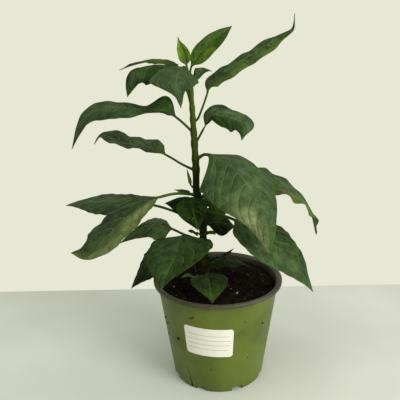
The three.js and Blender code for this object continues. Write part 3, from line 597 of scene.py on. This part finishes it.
def leaf_skin(leaf, across, row_step):
    """Points, faces and shading values of one closed leaf: a round stalk that flattens into a
    thin quilted blade with a sunk rib above and a raised one beneath."""
    spine = leaf_spine(leaf, row_step)
    widths = np.array(each_side(leaf["width"]), float)
    stalk = np.clip(0.75 + widths.max() * 0.011, *STALK_RADII)
    t, u = np.meshgrid(spine.t, np.linspace(-1, 1, across), indexing="ij")
    half, reach, sheet = blade_sheet(leaf, spine, widths, stalk, t, u)
    margin = (1 - np.abs(u)) * half
    flat = np.where(spine.distance > spine.base, smoothstep(spine.t, 0, BLADE_EASE), 0)[:, None]

    count = max(3, round(spine.blade / VEIN_SPACING))
    veins = vein_phase(t, u, widths.max() / 2 / spine.blade, count)
    to_vein = np.abs(veins - np.round(veins)) / count * spine.blade * 0.8
    relief = leaf_relief(leaf["quilt"], to_vein, reach, margin, t)
    sheet += sheet_normals(sheet, spine.up) * (relief * flat)[..., None]
    normal = sheet_normals(sheet, spine.up)

    thin = LEAF_THICKNESS + (EDGE_THICKNESS - LEAF_THICKNESS) * np.abs(u)
    rib = RIB_DEPTH * (1 - 0.8 * t) * np.exp(-((reach / RIB_REACH) ** 2))
    sideways, upward = stalk_ring(spine, stalk, across)
    middle = spine.centre[:, None] + sideways
    mix = flat[..., None]
    top = (middle + upward) * (1 - mix) + (sheet + normal * (thin / 2)[..., None]) * mix
    bottom = (middle - upward) * (1 - mix) + (sheet - normal * (thin / 2 + rib)[..., None]) * mix
    points, faces = closed_skin(top, bottom)

    upper = {
        "vein_phase": veins,
        "vein_gap": np.full_like(t, spine.blade / count),
        "rib_distance": reach,
        "margin_distance": margin,
        "blade": np.repeat(flat, across, axis=1),
        "dark": np.full_like(t, leaf["dark"]),
    }
    for name in TINTS:
        upper[name] = tint(leaf, name, t, u)
    shading = {name: both_skins(values, values) for name, values in upper.items()}
    shading["under"] = both_skins(np.zeros_like(t), np.ones_like(t))
    return points, faces, shading


def leaf_piece(name, leaf, material, slot, nodes=()):
    widest = np.max(leaf["width"])
    across, row_step = next(grid[1:] for grid in BLADE_GRIDS if widest > grid[0])
    points, faces, shading = leaf_skin(leaf, across, row_step)
    made = new_object(name, points, faces, [material])
    for attribute, values in shading.items():
        store(made, attribute, values)
    return keep_piece(made, slot, *nodes)


# ---- node materials ----
def linear(red, green, blue):
    """A display colour of 0..255 as the linear colour that a shader takes."""
    values = np.array([red, green, blue]) / 255
    bright = ((values + 0.055) / 1.055) ** 2.4
    return (*np.where(values <= 0.04045, values / 12.92, bright).tolist(), 1.0)


class Shader:
    """A node material with short calls for the nodes that this scene uses."""

    def __init__(self, name, specular, gloss_tint=None):
        self.material = bpy.data.materials.new(name)
        self.material.use_nodes = True
        self.tree = self.material.node_tree
        self.tree.nodes.clear()
        output = self.node("OutputMaterial")
        self.surface = self.node("BsdfPrincipled")
        self.wire(self.surface.outputs[0], output.inputs[0])
        self.surface.inputs["Specular IOR Level"].default_value = specular
        if gloss_tint:
            self.surface.inputs["Specular Tint"].default_value = gloss_tint
        self.place = self.node("TexCoord").outputs["Object"]

    def node(self, kind):
        return self.tree.nodes.new("ShaderNode" + kind)

    def wire(self, value, socket):
        if isinstance(value, bpy.types.NodeSocket):
            self.tree.links.new(value, socket)
        else:
            socket.default_value = value

    def attribute(self, name):
        node = self.node("Attribute")
        node.attribute_name = name
        return node.outputs["Fac"]

    def maths(self, operation, a, b=0.0, clamp=False):
        node = self.node("Math")
        node.operation = operation
        node.use_clamp = clamp
        self.wire(a, node.inputs[0])
        self.wire(b, node.inputs[1])
        return node.outputs[0]

    def times(self, a, b):
        return self.maths("MULTIPLY", a, b)

    def step(self, value, low, high, start=0.0, end=1.0):
        """Eases from start to end as value goes from low to high."""
        node = self.node("MapRange")
        node.interpolation_type = "SMOOTHSTEP"
        for number, socket in zip((value, low, high, start, end), node.inputs):
            self.wire(number, socket)
        return node.outputs[0]

    def mix(self, amount, a, b):
        node = self.node("Mix")
        node.data_type = "RGBA"
        self.wire(amount, node.inputs[0])
        self.wire(a, node.inputs[6])
        self.wire(b, node.inputs[7])
        return node.outputs[2]

    def between(self, mask, low, high):
        """A display colour where the mask is 0, and another where it is 1."""
        return self.mix(mask, linear(*low), linear(*high))

    def layer(self, colour, mask, amount, over):
        """The colour with a display colour laid over it, by amount where the mask is 1."""
        return self.mix(self.times(mask, amount), colour, linear(*over))

    def noise(self, scale, detail=3.0, roughness=0.55, stretch=None):
        node = self.node("TexNoise")
        node.inputs["Scale"].default_value = scale
        node.inputs["Detail"].default_value = detail
        node.inputs["Roughness"].default_value = roughness
        place = self.place
        if stretch:
            mapping = self.node("Mapping")
            mapping.inputs["Scale"].default_value = stretch
            self.wire(place, mapping.inputs["Vector"])
            place = mapping.outputs[0]
        self.wire(place, node.inputs["Vector"])
        return node.outputs["Fac"]

    def cells(self, scale):
        """The distance to the borders of a network of cells."""
        node = self.node("TexVoronoi")
        node.feature = "DISTANCE_TO_EDGE"
        node.inputs["Scale"].default_value = scale
        self.wire(self.place, node.inputs["Vector"])
        return node.outputs["Distance"]

    def finished(self, colour, roughness, height=0.0, depth=0.0, strength=0.0):
        """The material, with its bump from a height of 0..1 and a depth in metres."""
        self.wire(colour, self.surface.inputs["Base Color"])
        self.wire(roughness, self.surface.inputs["Roughness"])
        if strength:
            bump = self.node("Bump")
            bump.inputs["Strength"].default_value = strength
            bump.inputs["Distance"].default_value = depth
            self.wire(height, bump.inputs["Height"])
            self.wire(bump.outputs[0], self.surface.inputs["Normal"])
        return self.material


# The tints' display colours, in the order in which they are laid. Young growth is between two.
YOUNG = ((44, 74, 4), (104, 136, 14))
TINTS = {
    # Painted reflection of the bright sky on the waxy blade.
    "sheen": (76, 98, 64),
    "warm": (98, 112, 38),
    "young": YOUNG,
    "pale": (134, 142, 98),
    # Painted shade over the part of a blade turned from the light.
    "shade": (18, 40, 2),
}


def tinted(s, colour, clouds):
    """The colour with the leaf's tints over it, which have broken edges."""
    broken = s.step(s.noise(75, 5), 0.25, 0.75, 0.55, 1.25)
    for name, over in TINTS.items():
        amount = s.maths("MULTIPLY", s.attribute(name), broken, clamp=True)
        over = s.between(clouds, *over) if over is YOUNG else linear(*over)
        colour = s.mix(amount, colour, over)
    return colour


def leaf_masks(s):
    """Where side veins, the painted shade beside them, the rib and the painted highlight at the rim
    lie.
    """
    phase = s.attribute("vein_phase")
    off = s.maths("ABSOLUTE", s.maths("SUBTRACT", phase, s.maths("ROUND", phase)))
    to_vein = s.times(off, s.attribute("vein_gap"))
    margin = s.attribute("margin_distance")
    inland = s.step(margin, 1.0, 6.0)
    patchy = s.step(s.noise(55, 3), 0.4, 0.6, 0.1, 0.85)
    vein = s.times(s.step(to_vein, 0.3, 1.05, 1, 0), inland)
    rib = s.step(s.attribute("rib_distance"), 0.45, 1.15, 1, 0)
    return SimpleNamespace(
        vein=vein,
        pale_vein=s.times(vein, patchy),
        shaded_hollow=s.times(s.step(to_vein, 0.2, 3.2, 1, 0), inland),
        rib=s.times(rib, s.maths("ADD", patchy, 0.15)),
        lit_rim=s.step(margin, 0.0, 0.6, 1, 0),
    )


def leaf_material(name, specular):
    s = Shader(name, specular, LEAF_GLOSS)
    clouds = s.step(s.noise(45, 4), 0.32, 0.68)
    blister = s.step(s.noise(130, 3), 0.35, 0.65)
    fine = s.step(s.noise(240, 3), 0.3, 0.7)
    deep = s.step(s.noise(85, 4), 0.42, 0.62)
    mask = leaf_masks(s)

    top = s.between(clouds, (12, 25, 5), (38, 62, 20))
    top = s.layer(top, blister, 0.45, (62, 90, 38))
    top = s.layer(top, fine, 0.15, (62, 88, 38))
    top = tinted(s, top, clouds)
    top = s.layer(top, deep, 0.4, (10, 21, 4))
    # Painted shade in the hollows beside the side veins.
    top = s.layer(top, mask.shaded_hollow, 0.15, (14, 28, 6))
    top = s.layer(top, mask.pale_vein, 0.75, (92, 116, 62))
    top = s.layer(top, mask.rib, 0.5, (86, 110, 54))
    # Painted highlight along the blade's rim.
    top = s.layer(top, mask.lit_rim, 0.35, (86, 106, 44))
    under = s.between(fine, (62, 82, 32), (78, 100, 44))
    under = s.layer(under, mask.vein, 0.5, (104, 124, 60))
    under = s.layer(under, mask.rib, 0.7, (108, 128, 62))
    stalk = s.between(clouds, (38, 56, 10), (58, 82, 18))
    blade = s.mix(s.attribute("under"), top, under)
    colour = s.mix(s.attribute("blade"), stalk, blade)
    # Painted shade: the leaf's dark value darkens all of it towards near black.
    colour = s.mix(s.attribute("dark"), colour, linear(6, 13, 2))
    roughness = s.step(s.noise(120, 3), 0.2, 0.8, 0.48, 0.66)

    net = s.step(s.cells(230), 0.0, 0.25)
    height = s.maths("ADD", s.times(net, 0.5), s.times(fine, 0.4))
    height = s.maths("ADD", height, s.times(blister, 0.8))
    height = s.maths("SUBTRACT", height, s.times(mask.vein, 0.6))
    return s.finished(colour, roughness, height, 0.0005, 0.9)


def stem_material():
    s = Shader("stem_skin", 0.05, LEAF_GLOSS)
    height = s.attribute("height")
    streaks = s.step(s.noise(260, 4, stretch=(1, 1, 0.09)), 0.3, 0.7)
    bark = s.step(s.noise(90, 5), 0.4, 0.7)
    dark = s.step(height, STEM_PALE_ABOVE, STEM_DARK_BELOW, 0, 0.95)
    colour = s.between(streaks, (36, 53, 7), (62, 82, 16))
    colour = s.mix(dark, colour, linear(13, 24, 2))
    colour = s.layer(colour, s.step(height, BARK_TOP, BARK_FOOT), bark, (84, 70, 40))
    colour = s.layer(colour, s.attribute("blush"), bark, (92, 62, 40))
    ridges = s.maths("ADD", streaks, s.times(bark, 0.5))
    return s.finished(colour, s.step(streaks, 0, 1, 0.42, 0.6), ridges, 0.0002, 0.8)


def pot_material(name, dark, light, roughness):
    s = Shader(name, 0.35)
    clouds = s.step(s.noise(22, 4), 0.3, 0.7)
    grain = s.step(s.noise(700, 2), 0.3, 0.7)
    dust = s.step(s.noise(160, 6, 0.7), 0.56, 0.74)
    colour = s.between(clouds, dark, light)
    colour = s.layer(colour, grain, 0.1, (118, 126, 66))
    colour = s.layer(colour, dust, 0.35, (72, 66, 46))
    rough = s.step(s.noise(60, 4), 0.2, 0.8, roughness - 0.06, roughness + 0.1)
    rings = s.noise(30, 3, stretch=(0.3, 0.3, 9))
    return s.finished(colour, rough, s.maths("ADD", s.times(grain, 0.15), rings), 0.00035, 0.5)


def soil_material(name, dark, light):
    s = Shader(name, 0.06)
    clumps = s.step(s.noise(230, 6, 0.7), 0.3, 0.7)
    colour = s.between(clumps, dark, light)
    return s.finished(colour, s.step(clumps, 0, 1, 0.8, 0.97), s.noise(900, 6, 0.7), 0.0012, 0.9)


def label_material():
    """White paper with plain ruled lines to write on."""
    s = Shader("label_paper", 0.35)
    fibre = s.step(s.noise(1500, 4), 0.3, 0.7)
    stain = s.step(s.noise(90, 5), 0.55, 0.8)
    down = s.attribute("label_down")
    line_place = s.maths("ABSOLUTE", s.maths("SUBTRACT", down, s.maths("ROUND", down)))
    within = s.step(s.attribute("label_in"), LABEL_LINE_INSET, LABEL_LINE_INSET + 0.4)
    line = s.times(s.step(line_place, 0.035, 0.065, 1, 0), within)
    colour = s.between(fibre, (209, 208, 199), (223, 221, 212))
    colour = s.layer(colour, stain, 0.2, (190, 186, 160))
    colour = s.layer(colour, line, 0.75, (128, 132, 130))
    return s.finished(colour, s.step(fibre, 0, 1, 0.5, 0.62), fibre, 0.00005, 0.5)


def floor_material():
    s = Shader("floor_pale", 0.3)
    cloud = s.step(s.noise(5, 3), 0.3, 0.7)
    colour = s.between(cloud, (189, 192, 187), (199, 202, 197))
    return s.finished(colour, s.step(cloud, 0, 1, 0.55, 0.65))


# ---- pot ----
UNDER_RIM = POT_HEIGHT - RIM_HEIGHT


def wall_radius(z):
    return FOOT_RADIUS + (WALL_TOP_RADIUS - FOOT_RADIUS) * z / UNDER_RIM


def revolved(profile, sides):
    """Points and faces of a solid of revolution. Its profile starts and ends on the axis."""
    radius, z = np.array(profile[1:-1], float).T[..., None]
    angle = 2 * np.pi * np.arange(sides) / sides
    rings = np.stack([radius * np.cos(angle), radius * np.sin(angle), z + 0 * angle], -1)
    points = np.vstack([(0, 0, profile[0][1]), rings.reshape(-1, 3), (0, 0, profile[-1][1])])
    faces = [[1 + k for k in face] for face in band_faces(len(rings), sides)]
    last = len(points) - 1
    for k in range(sides):
        n = (k + 1) % sides
        faces.append([0, 1 + n, 1 + k])
        faces.append([last - sides + k, last - sides + n, last])
    return points, faces


def pot_profile():
    outer = [(wall_radius(z), z) for z in np.linspace(0.8, UNDER_RIM - 0.4, 22)]
    lip_out, lip_top = RIM_RADIUS - LIP_RADIUS, POT_HEIGHT - LIP_RADIUS
    lip = [
        (lip_out + math.cos(a) * LIP_RADIUS, lip_top + math.sin(a) * LIP_RADIUS)
        for a in np.linspace(0, math.pi / 2, 7)
    ]
    inner = [(wall_radius(z) - WALL, z) for z in np.linspace(UNDER_RIM - 2, 5, 16)]
    foot_ring = FOOT_RADIUS - FOOT_RING_WIDTH
    return [
        (0, 0), (FOOT_PAD_RADIUS, 0), (FOOT_PAD_RADIUS + 1, 0.15),
        (FOOT_PAD_RADIUS + 4, FOOT_RISE), (foot_ring - 2, FOOT_RISE), (foot_ring - 0.4, 0.2),
        (foot_ring, 0), (FOOT_RADIUS - 0.8, 0), (FOOT_RADIUS - 0.25, 0.25), *outer,
        (WALL_TOP_RADIUS + 0.35, UNDER_RIM - 0.05), (RIM_RADIUS - 0.5, UNDER_RIM),
        (RIM_RADIUS - 0.1, UNDER_RIM + 0.3), (RIM_RADIUS, UNDER_RIM + 0.8), *lip,
        (RIM_MOUTH_RADIUS + 0.5, POT_HEIGHT), (RIM_MOUTH_RADIUS, POT_HEIGHT - 0.2),
        (WALL_TOP_RADIUS - WALL + 0.4, POT_HEIGHT - 2.2), *inner,
        (FOOT_RADIUS - WALL - 1.5, FOOT_RISE + FLOOR), (0, FOOT_RISE + FLOOR),
    ]


def around(angle, radius, z):
    """A point on the pot at an angle from its front, in degrees."""
    a = math.radians(angle)
    return np.array([radius * math.sin(a), -radius * math.cos(a), z])


def turned(x, y):
    """The angle from the pot's front, in degrees, of a place on it."""
    return math.degrees(math.atan2(x, -y))


def drain_cutters():
    """Round-cornered bars through the corner between wall and foot."""
    side, top = DRAIN_WIDTH / 2 - DRAIN_CORNER, DRAIN_HEIGHT - DRAIN_CORNER
    section = [(DRAIN_WIDTH / 2, -DRAIN_HEIGHT), (DRAIN_WIDTH / 2, top)]
    section += [
        (side + DRAIN_CORNER * math.cos(a), top + DRAIN_CORNER * math.sin(a))
        for a in np.linspace(0.3, math.pi / 2, 5)
    ]
    section += [(-x, z) for x, z in reversed(section)]
    bars = []
    for i in range(DRAIN_COUNT):
        angle = DRAIN_FIRST_ANGLE + 360 * i / DRAIN_COUNT
        sideways = around(angle + 90, 1, 0)
        bars.append(capped_tube([
            [around(angle, FOOT_RADIUS + reach, z) + sideways * x for x, z in section]
            for reach in (-DRAIN_REACH, DRAIN_REACH)
        ]))
    return merged(bars)


def crease_cutter():
    """A slim wedge that cuts the crease in the lower wall."""
    rows = []
    for f in np.linspace(0, 1, 9):
        angle = CREASE_FOOT[0] + (CREASE_TOP[0] - CREASE_FOOT[0]) * f
        z = CREASE_FOOT[1] - 1 + (CREASE_TOP[1] - CREASE_FOOT[1] + 1) * f
        angle += CREASE_BEND * math.sin(5 * f)
        turn = math.degrees(CREASE_WIDTH * (1 - 0.85 * f) / 2 / FOOT_RADIUS)
        deep = wall_radius(z) - CREASE_DEPTH * (1 - 0.6 * f)
        clear = wall_radius(z) + CUT_CLEARANCE
        rows.append([
            around(angle + turn, clear, z), around(angle, deep, z), around(angle - turn, clear, z),
        ])
    return capped_tube(rows)


def cut(made, cutter):
    """Takes the cutter's volume away from a mesh object."""
    step = made.modifiers.new("cut", "BOOLEAN")
    step.operation = "DIFFERENCE"
    step.solver = "EXACT"
    step.object = cutter
    graph = bpy.context.evaluated_depsgraph_get()
    result = bpy.data.meshes.new_from_object(made.evaluated_get(graph))
    made.modifiers.clear()
    old = made.data
    made.data = result
    result.name = made.name
    bpy.data.meshes.remove(old)
    bpy.data.objects.remove(cutter)


def shade_by_angle(made, angle):
    """Smooth shading, with sharp edges where faces meet at more than the angle."""
    made.data.shade_smooth()
    bm = bmesh.new()
    bm.from_mesh(made.data)
    bmesh.ops.recalc_face_normals(bm, faces=bm.faces)
    for edge in bm.edges:
        edge.smooth = edge.calc_face_angle(0) < math.radians(angle)
    bm.to_mesh(made.data)
    bm.free()


def make_pot():
    pot = new_object("pot_body", *revolved(pot_profile(), POT_SIDES))
    for name, cutter in (("drains", drain_cutters()), ("crease", crease_cutter())):
        cut(pot, new_object(name, *cutter, smooth=False))
    shade_by_angle(pot, 35)
    outside = pot_material("pot_green", (64, 78, 15), (84, 98, 23), 0.42)
    inside = pot_material("pot_grey", (40, 38, 30), (66, 64, 52), 0.5)
    # A near-black colour for the crease's faces: painted shade inside the crease.
    crease_shade = soil_material("crease_painted_shade", (14, 11, 7), (40, 32, 18))
    pot.data.materials.clear()
    for material in (outside, inside, crease_shade):
        pot.data.materials.append(material)
    # A face's material follows from how deep in the wall its middle is.
    for face in pot.data.polygons:
        x, y, z = face.center / MM
        depth = wall_radius(z) - math.hypot(x, y)
        outer = depth < 0.35 and z < UNDER_RIM - 0.15
        face.material_index = 0 if outer or z < 0.7 else 1
        # Faces inside the crease take the painted shade.
        beside = CREASE_TOP[0] - 2 < turned(x, y) < CREASE_FOOT[0] + 3
        if 0.1 < depth < 1.3 and beside and 0.8 < z < CREASE_TOP[1]:
            face.material_index = 2
    return keep_piece(pot, "pot_plastic", "pot")


# ---- label ----
def make_label():
    columns, rows = 72, 18
    s = (1 - np.cos(np.linspace(0, np.pi, columns + 1))) / 2
    s, v = np.meshgrid(s, np.linspace(-0.5, 0.5, rows + 1), indexing="ij")
    wide = math.radians(LABEL_TO - LABEL_FROM) * wall_radius(LABEL_MIDDLE)
    from_side = np.minimum(s, 1 - s) * wide
    deep = np.clip(LABEL_CORNER - from_side, 0, None)
    short = LABEL_CORNER - np.sqrt(LABEL_CORNER**2 - deep**2)
    angle = np.radians(LABEL_FROM + (LABEL_TO - LABEL_FROM) * s)
    rise = v * (LABEL_HEIGHT - 2 * short)
    z = LABEL_MIDDLE + LABEL_TILT * (s - 0.5) + rise
    skins = []
    for proud in (LABEL_OFF_WALL, LABEL_OFF_WALL + LABEL_THICKNESS):
        radius = wall_radius(z) + proud
        skins.append(np.stack([radius * np.sin(angle), -radius * np.cos(angle), z], -1))
    label = new_object("label_paper", *closed_skin(*skins), [label_material()])
    shade_by_angle(label, 40)
    down = rise / LABEL_LINE_SPACING + 0.5
    inset = np.minimum(from_side, LABEL_HEIGHT / 2 - np.abs(rise))
    store(label, "label_down", both_skins(down, down))
    store(label, "label_in", both_skins(inset, inset))
    return keep_piece(label, "label_paper", "label")


# ---- soil ----
def soil_height(x, y):
    """Height of the soil, with broad lumps and the small uneven relief of loose compost."""
    lumps = math.sin(x * 0.31 + 1.3) * math.sin(y * 0.27 + 0.4)
    lumps += 0.6 * math.sin(x * 0.13 - y * 0.19 + 2.1)
    here = Vector((x / 5.5, y / 5.5, 1.7))
    fine = Vector((x / 1.7, y / 1.7, 4.2))
    relief = 1.1 * noise.fractal(here, 1.0, 2.0, 3) + 0.45 * noise.noise(fine)
    rise = SOIL_BACK_RISE * float(smoothstep(y, -30, 64))
    return SOIL_TOP + rise + SOIL_LUMP * lumps + relief


def make_soil():
    bottom = FOOT_RISE + FLOOR + 0.1
    inner = wall_radius(SOIL_TOP) - WALL - SOIL_GAP
    profile = [(0, bottom), (FOOT_RADIUS - WALL - 2.5, bottom)]
    profile += [(wall_radius(z) - WALL - SOIL_GAP, z) for z in np.linspace(7, 96, 8)]
    profile += [(inner * (1 - k / SOIL_RINGS), SOIL_TOP) for k in range(SOIL_RINGS)]
    profile.append((0, SOIL_TOP))
    points, faces = revolved(profile, SOIL_SIDES)
    for p in points:
        if p[2] > SOIL_TOP - 0.01:
            p[2] = soil_height(p[0], p[1])
    dark = soil_material("soil_dark", (9, 8, 7), (34, 25, 20))
    soil = new_object("soil_bed", points, faces, [dark])
    return keep_piece(soil, "potting_soil", "soil")


def lump(rng, centre, size, squash=0.7):
    """Points and faces of one small uneven lump."""
    bm = bmesh.new()
    bmesh.ops.create_icosphere(bm, subdivisions=1, radius=1.0)
    turn = Matrix.Rotation(rng.uniform(0, 6.28), 3, "Z")
    spin = turn @ Matrix.Rotation(rng.uniform(-0.5, 0.5), 3, "X")
    stretch = np.array([rng.uniform(0.7, 1.5), rng.uniform(0.6, 1.1), squash])
    points = []
    for vertex in bm.verts:
        shaped = np.array(vertex.co) * stretch * rng.uniform(0.75, 1.2)
        points.append(np.array(spin @ Vector(shaped)) * size + centre)
    faces = [[v.index for v in face.verts] for face in bm.faces]
    bm.free()
    return points, faces


def joined_lumps(name, lumps, materials, slot):
    """One piece of many lumps, each with the tone that it lists."""
    made = new_object(name, *merged([solid for solid, _ in lumps]), materials)
    tones = [tone for (_, own_faces), tone in lumps for _ in own_faces]
    made.data.polygons.foreach_set("material_index", tones)
    return keep_piece(made, slot)


def crumb_materials():
    return [
        soil_material("crumb_dark", (12, 10, 8), (38, 29, 22)),
        soil_material("crumb_brown", (64, 38, 26), (104, 66, 46)),
        soil_material("crumb_pale", (120, 100, 74), (168, 146, 112)),
    ]


def make_crumbs(materials):
    rng = np.random.default_rng(CRUMB_SEED)
    placed = []
    for x, y, size, tone in MARKED_CRUMBS:
        centre = np.array([x, y, soil_height(x, y) + 0.4])
        placed.append((lump(rng, centre, size), tone))
    for _ in range(CRUMBS):
        radius = CRUMB_REACH * math.sqrt(rng.uniform(0, 1))
        turn = rng.uniform(0, 2 * math.pi)
        x, y = radius * math.cos(turn), radius * math.sin(turn)
        size = rng.uniform(0.5, 1.1) + 1.3 * rng.uniform(0, 1) ** 6
        tone = int(rng.choice(3, p=TONE_SHARES))
        if tone == 2:
            size *= 0.6
        z = soil_height(x, y) + 0.25 * size
        placed.append((lump(rng, np.array([x, y, z]), size), tone))
    return joined_lumps("soil_crumbs", placed, materials, "potting_soil")


def make_specks(materials):
    rng = np.random.default_rng(SPECK_SEED)
    placed = []
    for angle, z, size, tone in SPECKS:
        centre = around(angle, wall_radius(z) + 0.15 * size, z)
        placed.append((lump(rng, centre, size, squash=0.9), tone))
    for _ in range(RIM_CRUMBS):
        angle = rng.uniform(*RIM_CRUMB_ANGLES)
        z = rng.uniform(POT_HEIGHT - RIM_CRUMB_REACH, POT_HEIGHT)
        centre = around(angle, RIM_RADIUS - 0.3, z)
        placed.append((lump(rng, centre, rng.uniform(0.5, 0.9)), 1))
    return joined_lumps("soil_specks", placed, materials, "potting_soil")


# ---- stem and leaves ----
def make_stem(material):
    points, length, stop_length = smooth_line(STEM_LINE)
    distance = np.linspace(0, length[-1], STEM_STEPS + 1)
    centre = along(points, length, distance)
    tangent = unit(np.gradient(centre, axis=0))
    x = unit(np.cross((0, 1, 0), tangent))
    y = np.cross(tangent, x)
    radius = np.interp(distance, stop_length, STEM_RADII)
    gaps = [(centre[:, 2] - leaf["line"][0][2]) / NODE_REACH for leaf in LEAVES.values()]
    swelling = np.max([np.exp(-gap * gap) for gap in gaps], axis=0)
    above = smoothstep(centre[:, 2], *LOWEST_NODES)
    radius += NODE_SWELLING * swelling * above * np.minimum(1, radius / 3)
    radius[-3:] *= STEM_TIP_TAPER
    angle = 2 * np.pi * np.arange(STEM_SIDES) / STEM_SIDES
    twisted = angle + distance[:, None] * STEM_TWIST
    ridge = 1 + 0.035 * np.cos(5 * twisted)
    ridge += 0.015 * np.sin(9 * twisted + distance[:, None] * 0.05)
    ring = radius[:, None] * ridge
    skin = (
        centre[:, None]
        + (ring * np.cos(angle))[..., None] * x[:, None]
        + (ring * np.sin(angle))[..., None] * y[:, None]
    )
    stem = new_object("stem_main", *capped_tube(skin), [material])
    height = np.repeat(centre[:, 2:], STEM_SIDES, axis=1)
    front = np.cos(angle - np.radians(BLUSH_SIDE))
    low = 0.35 * np.exp(-(((height - BLUSH_HEIGHT) / 14) ** 2))
    blush = np.clip(low * front, 0, 1) + 0.2 * swelling[:, None]
    store(stem, "height", height)
    store(stem, "blush", np.clip(blush, 0, 1))
    return keep_piece(stem, "stem_green", "stem")


def make_leaves(material, shaded):
    for name, leaf in LEAVES.items():
        leaf = {**USUAL_LEAF, **leaf}
        slot = "young_leaf" if name in ("leaf_01", "leaf_02") else "leaf_green"
        skin = shaded if leaf["dark"] > DULL_FROM_DARK else material
        leaf_piece(name.replace("leaf", "blade"), leaf, skin, slot, [name])
    for number, shoot in enumerate(SHOOTS, 1):
        shoot = {**USUAL_LEAF, **shoot, "quilt": SHOOT_QUILT}
        leaf_piece(f"side_shoot_{number}", shoot, shaded, "leaf_green")


# ---- stage ----
# The places of the camera and the lights are in metres.
FIELD_OF_VIEW = 45.0
CAMERA_PLACE = (-0.0176, -0.487, 0.337)
CAMERA_PITCH = 15.9
CAMERA_ROLL = -1.1
LIGHTS_AIM = (-0.02, 0, 0.18)
FLOOR_BACK = 197.0
FLOOR_REACH = 1600.0
FLOOR_THICKNESS = 12.0


def make_camera():
    data = bpy.data.cameras.new("camera")
    data.angle = math.radians(FIELD_OF_VIEW)
    data.clip_start = 0.01
    camera = bpy.data.objects.new("camera", data)
    tilt = Matrix.Rotation(math.radians(90 - CAMERA_PITCH), 4, "X")
    roll = Matrix.Rotation(math.radians(CAMERA_ROLL), 4, "Z")
    camera.matrix_world = Matrix.Translation(CAMERA_PLACE) @ tilt @ roll
    bpy.context.scene.collection.objects.link(camera)
    bpy.context.scene.camera = camera


def make_floor():
    corners = [
        (-FLOOR_REACH, -FLOOR_REACH), (FLOOR_REACH, -FLOOR_REACH),
        (FLOOR_REACH, FLOOR_BACK), (-FLOOR_REACH, FLOOR_BACK),
    ]
    slab = capped_tube([[(x, y, z) for x, y in corners] for z in (-FLOOR_THICKNESS, 0)])
    floor = new_object("floor", *slab, [floor_material()], smooth=False)


def area_light(name, place, size, power, colour):
    data = bpy.data.lights.new(name, "AREA")
    data.shape = "DISK"
    data.size = size
    data.energy = power
    data.color = colour
    light = bpy.data.objects.new(name, data)
    light.location = place
    aim = Vector(LIGHTS_AIM) - Vector(place)
    light.rotation_euler = aim.to_track_quat("-Z", "Y").to_euler()
    bpy.context.scene.collection.objects.link(light)


def make_lights():
    area_light("key", (0.95, -0.85, 0.62), 0.8, 18, (1.0, 0.98, 0.93))
    area_light("fill", (-0.6, -0.3, 1.3), 1.2, 3, (0.95, 0.98, 1.0))
    world = bpy.data.worlds.new("daylight")
    world.use_nodes = True
    background = world.node_tree.nodes["Background"]
    background.inputs["Color"].default_value = linear(236, 237, 217)
    background.inputs["Strength"].default_value = 0.95
    bpy.context.scene.world = world
    bpy.context.scene.view_settings.view_transform = "Standard"


make_camera()
make_lights()
make_floor()
make_pot()
make_label()
make_soil()
crumbs = crumb_materials()
make_crumbs(crumbs)
make_specks(crumbs)
make_stem(stem_material())
make_leaves(leaf_material("leaf_skin", 0.13), leaf_material("leaf_shade", 0.03))
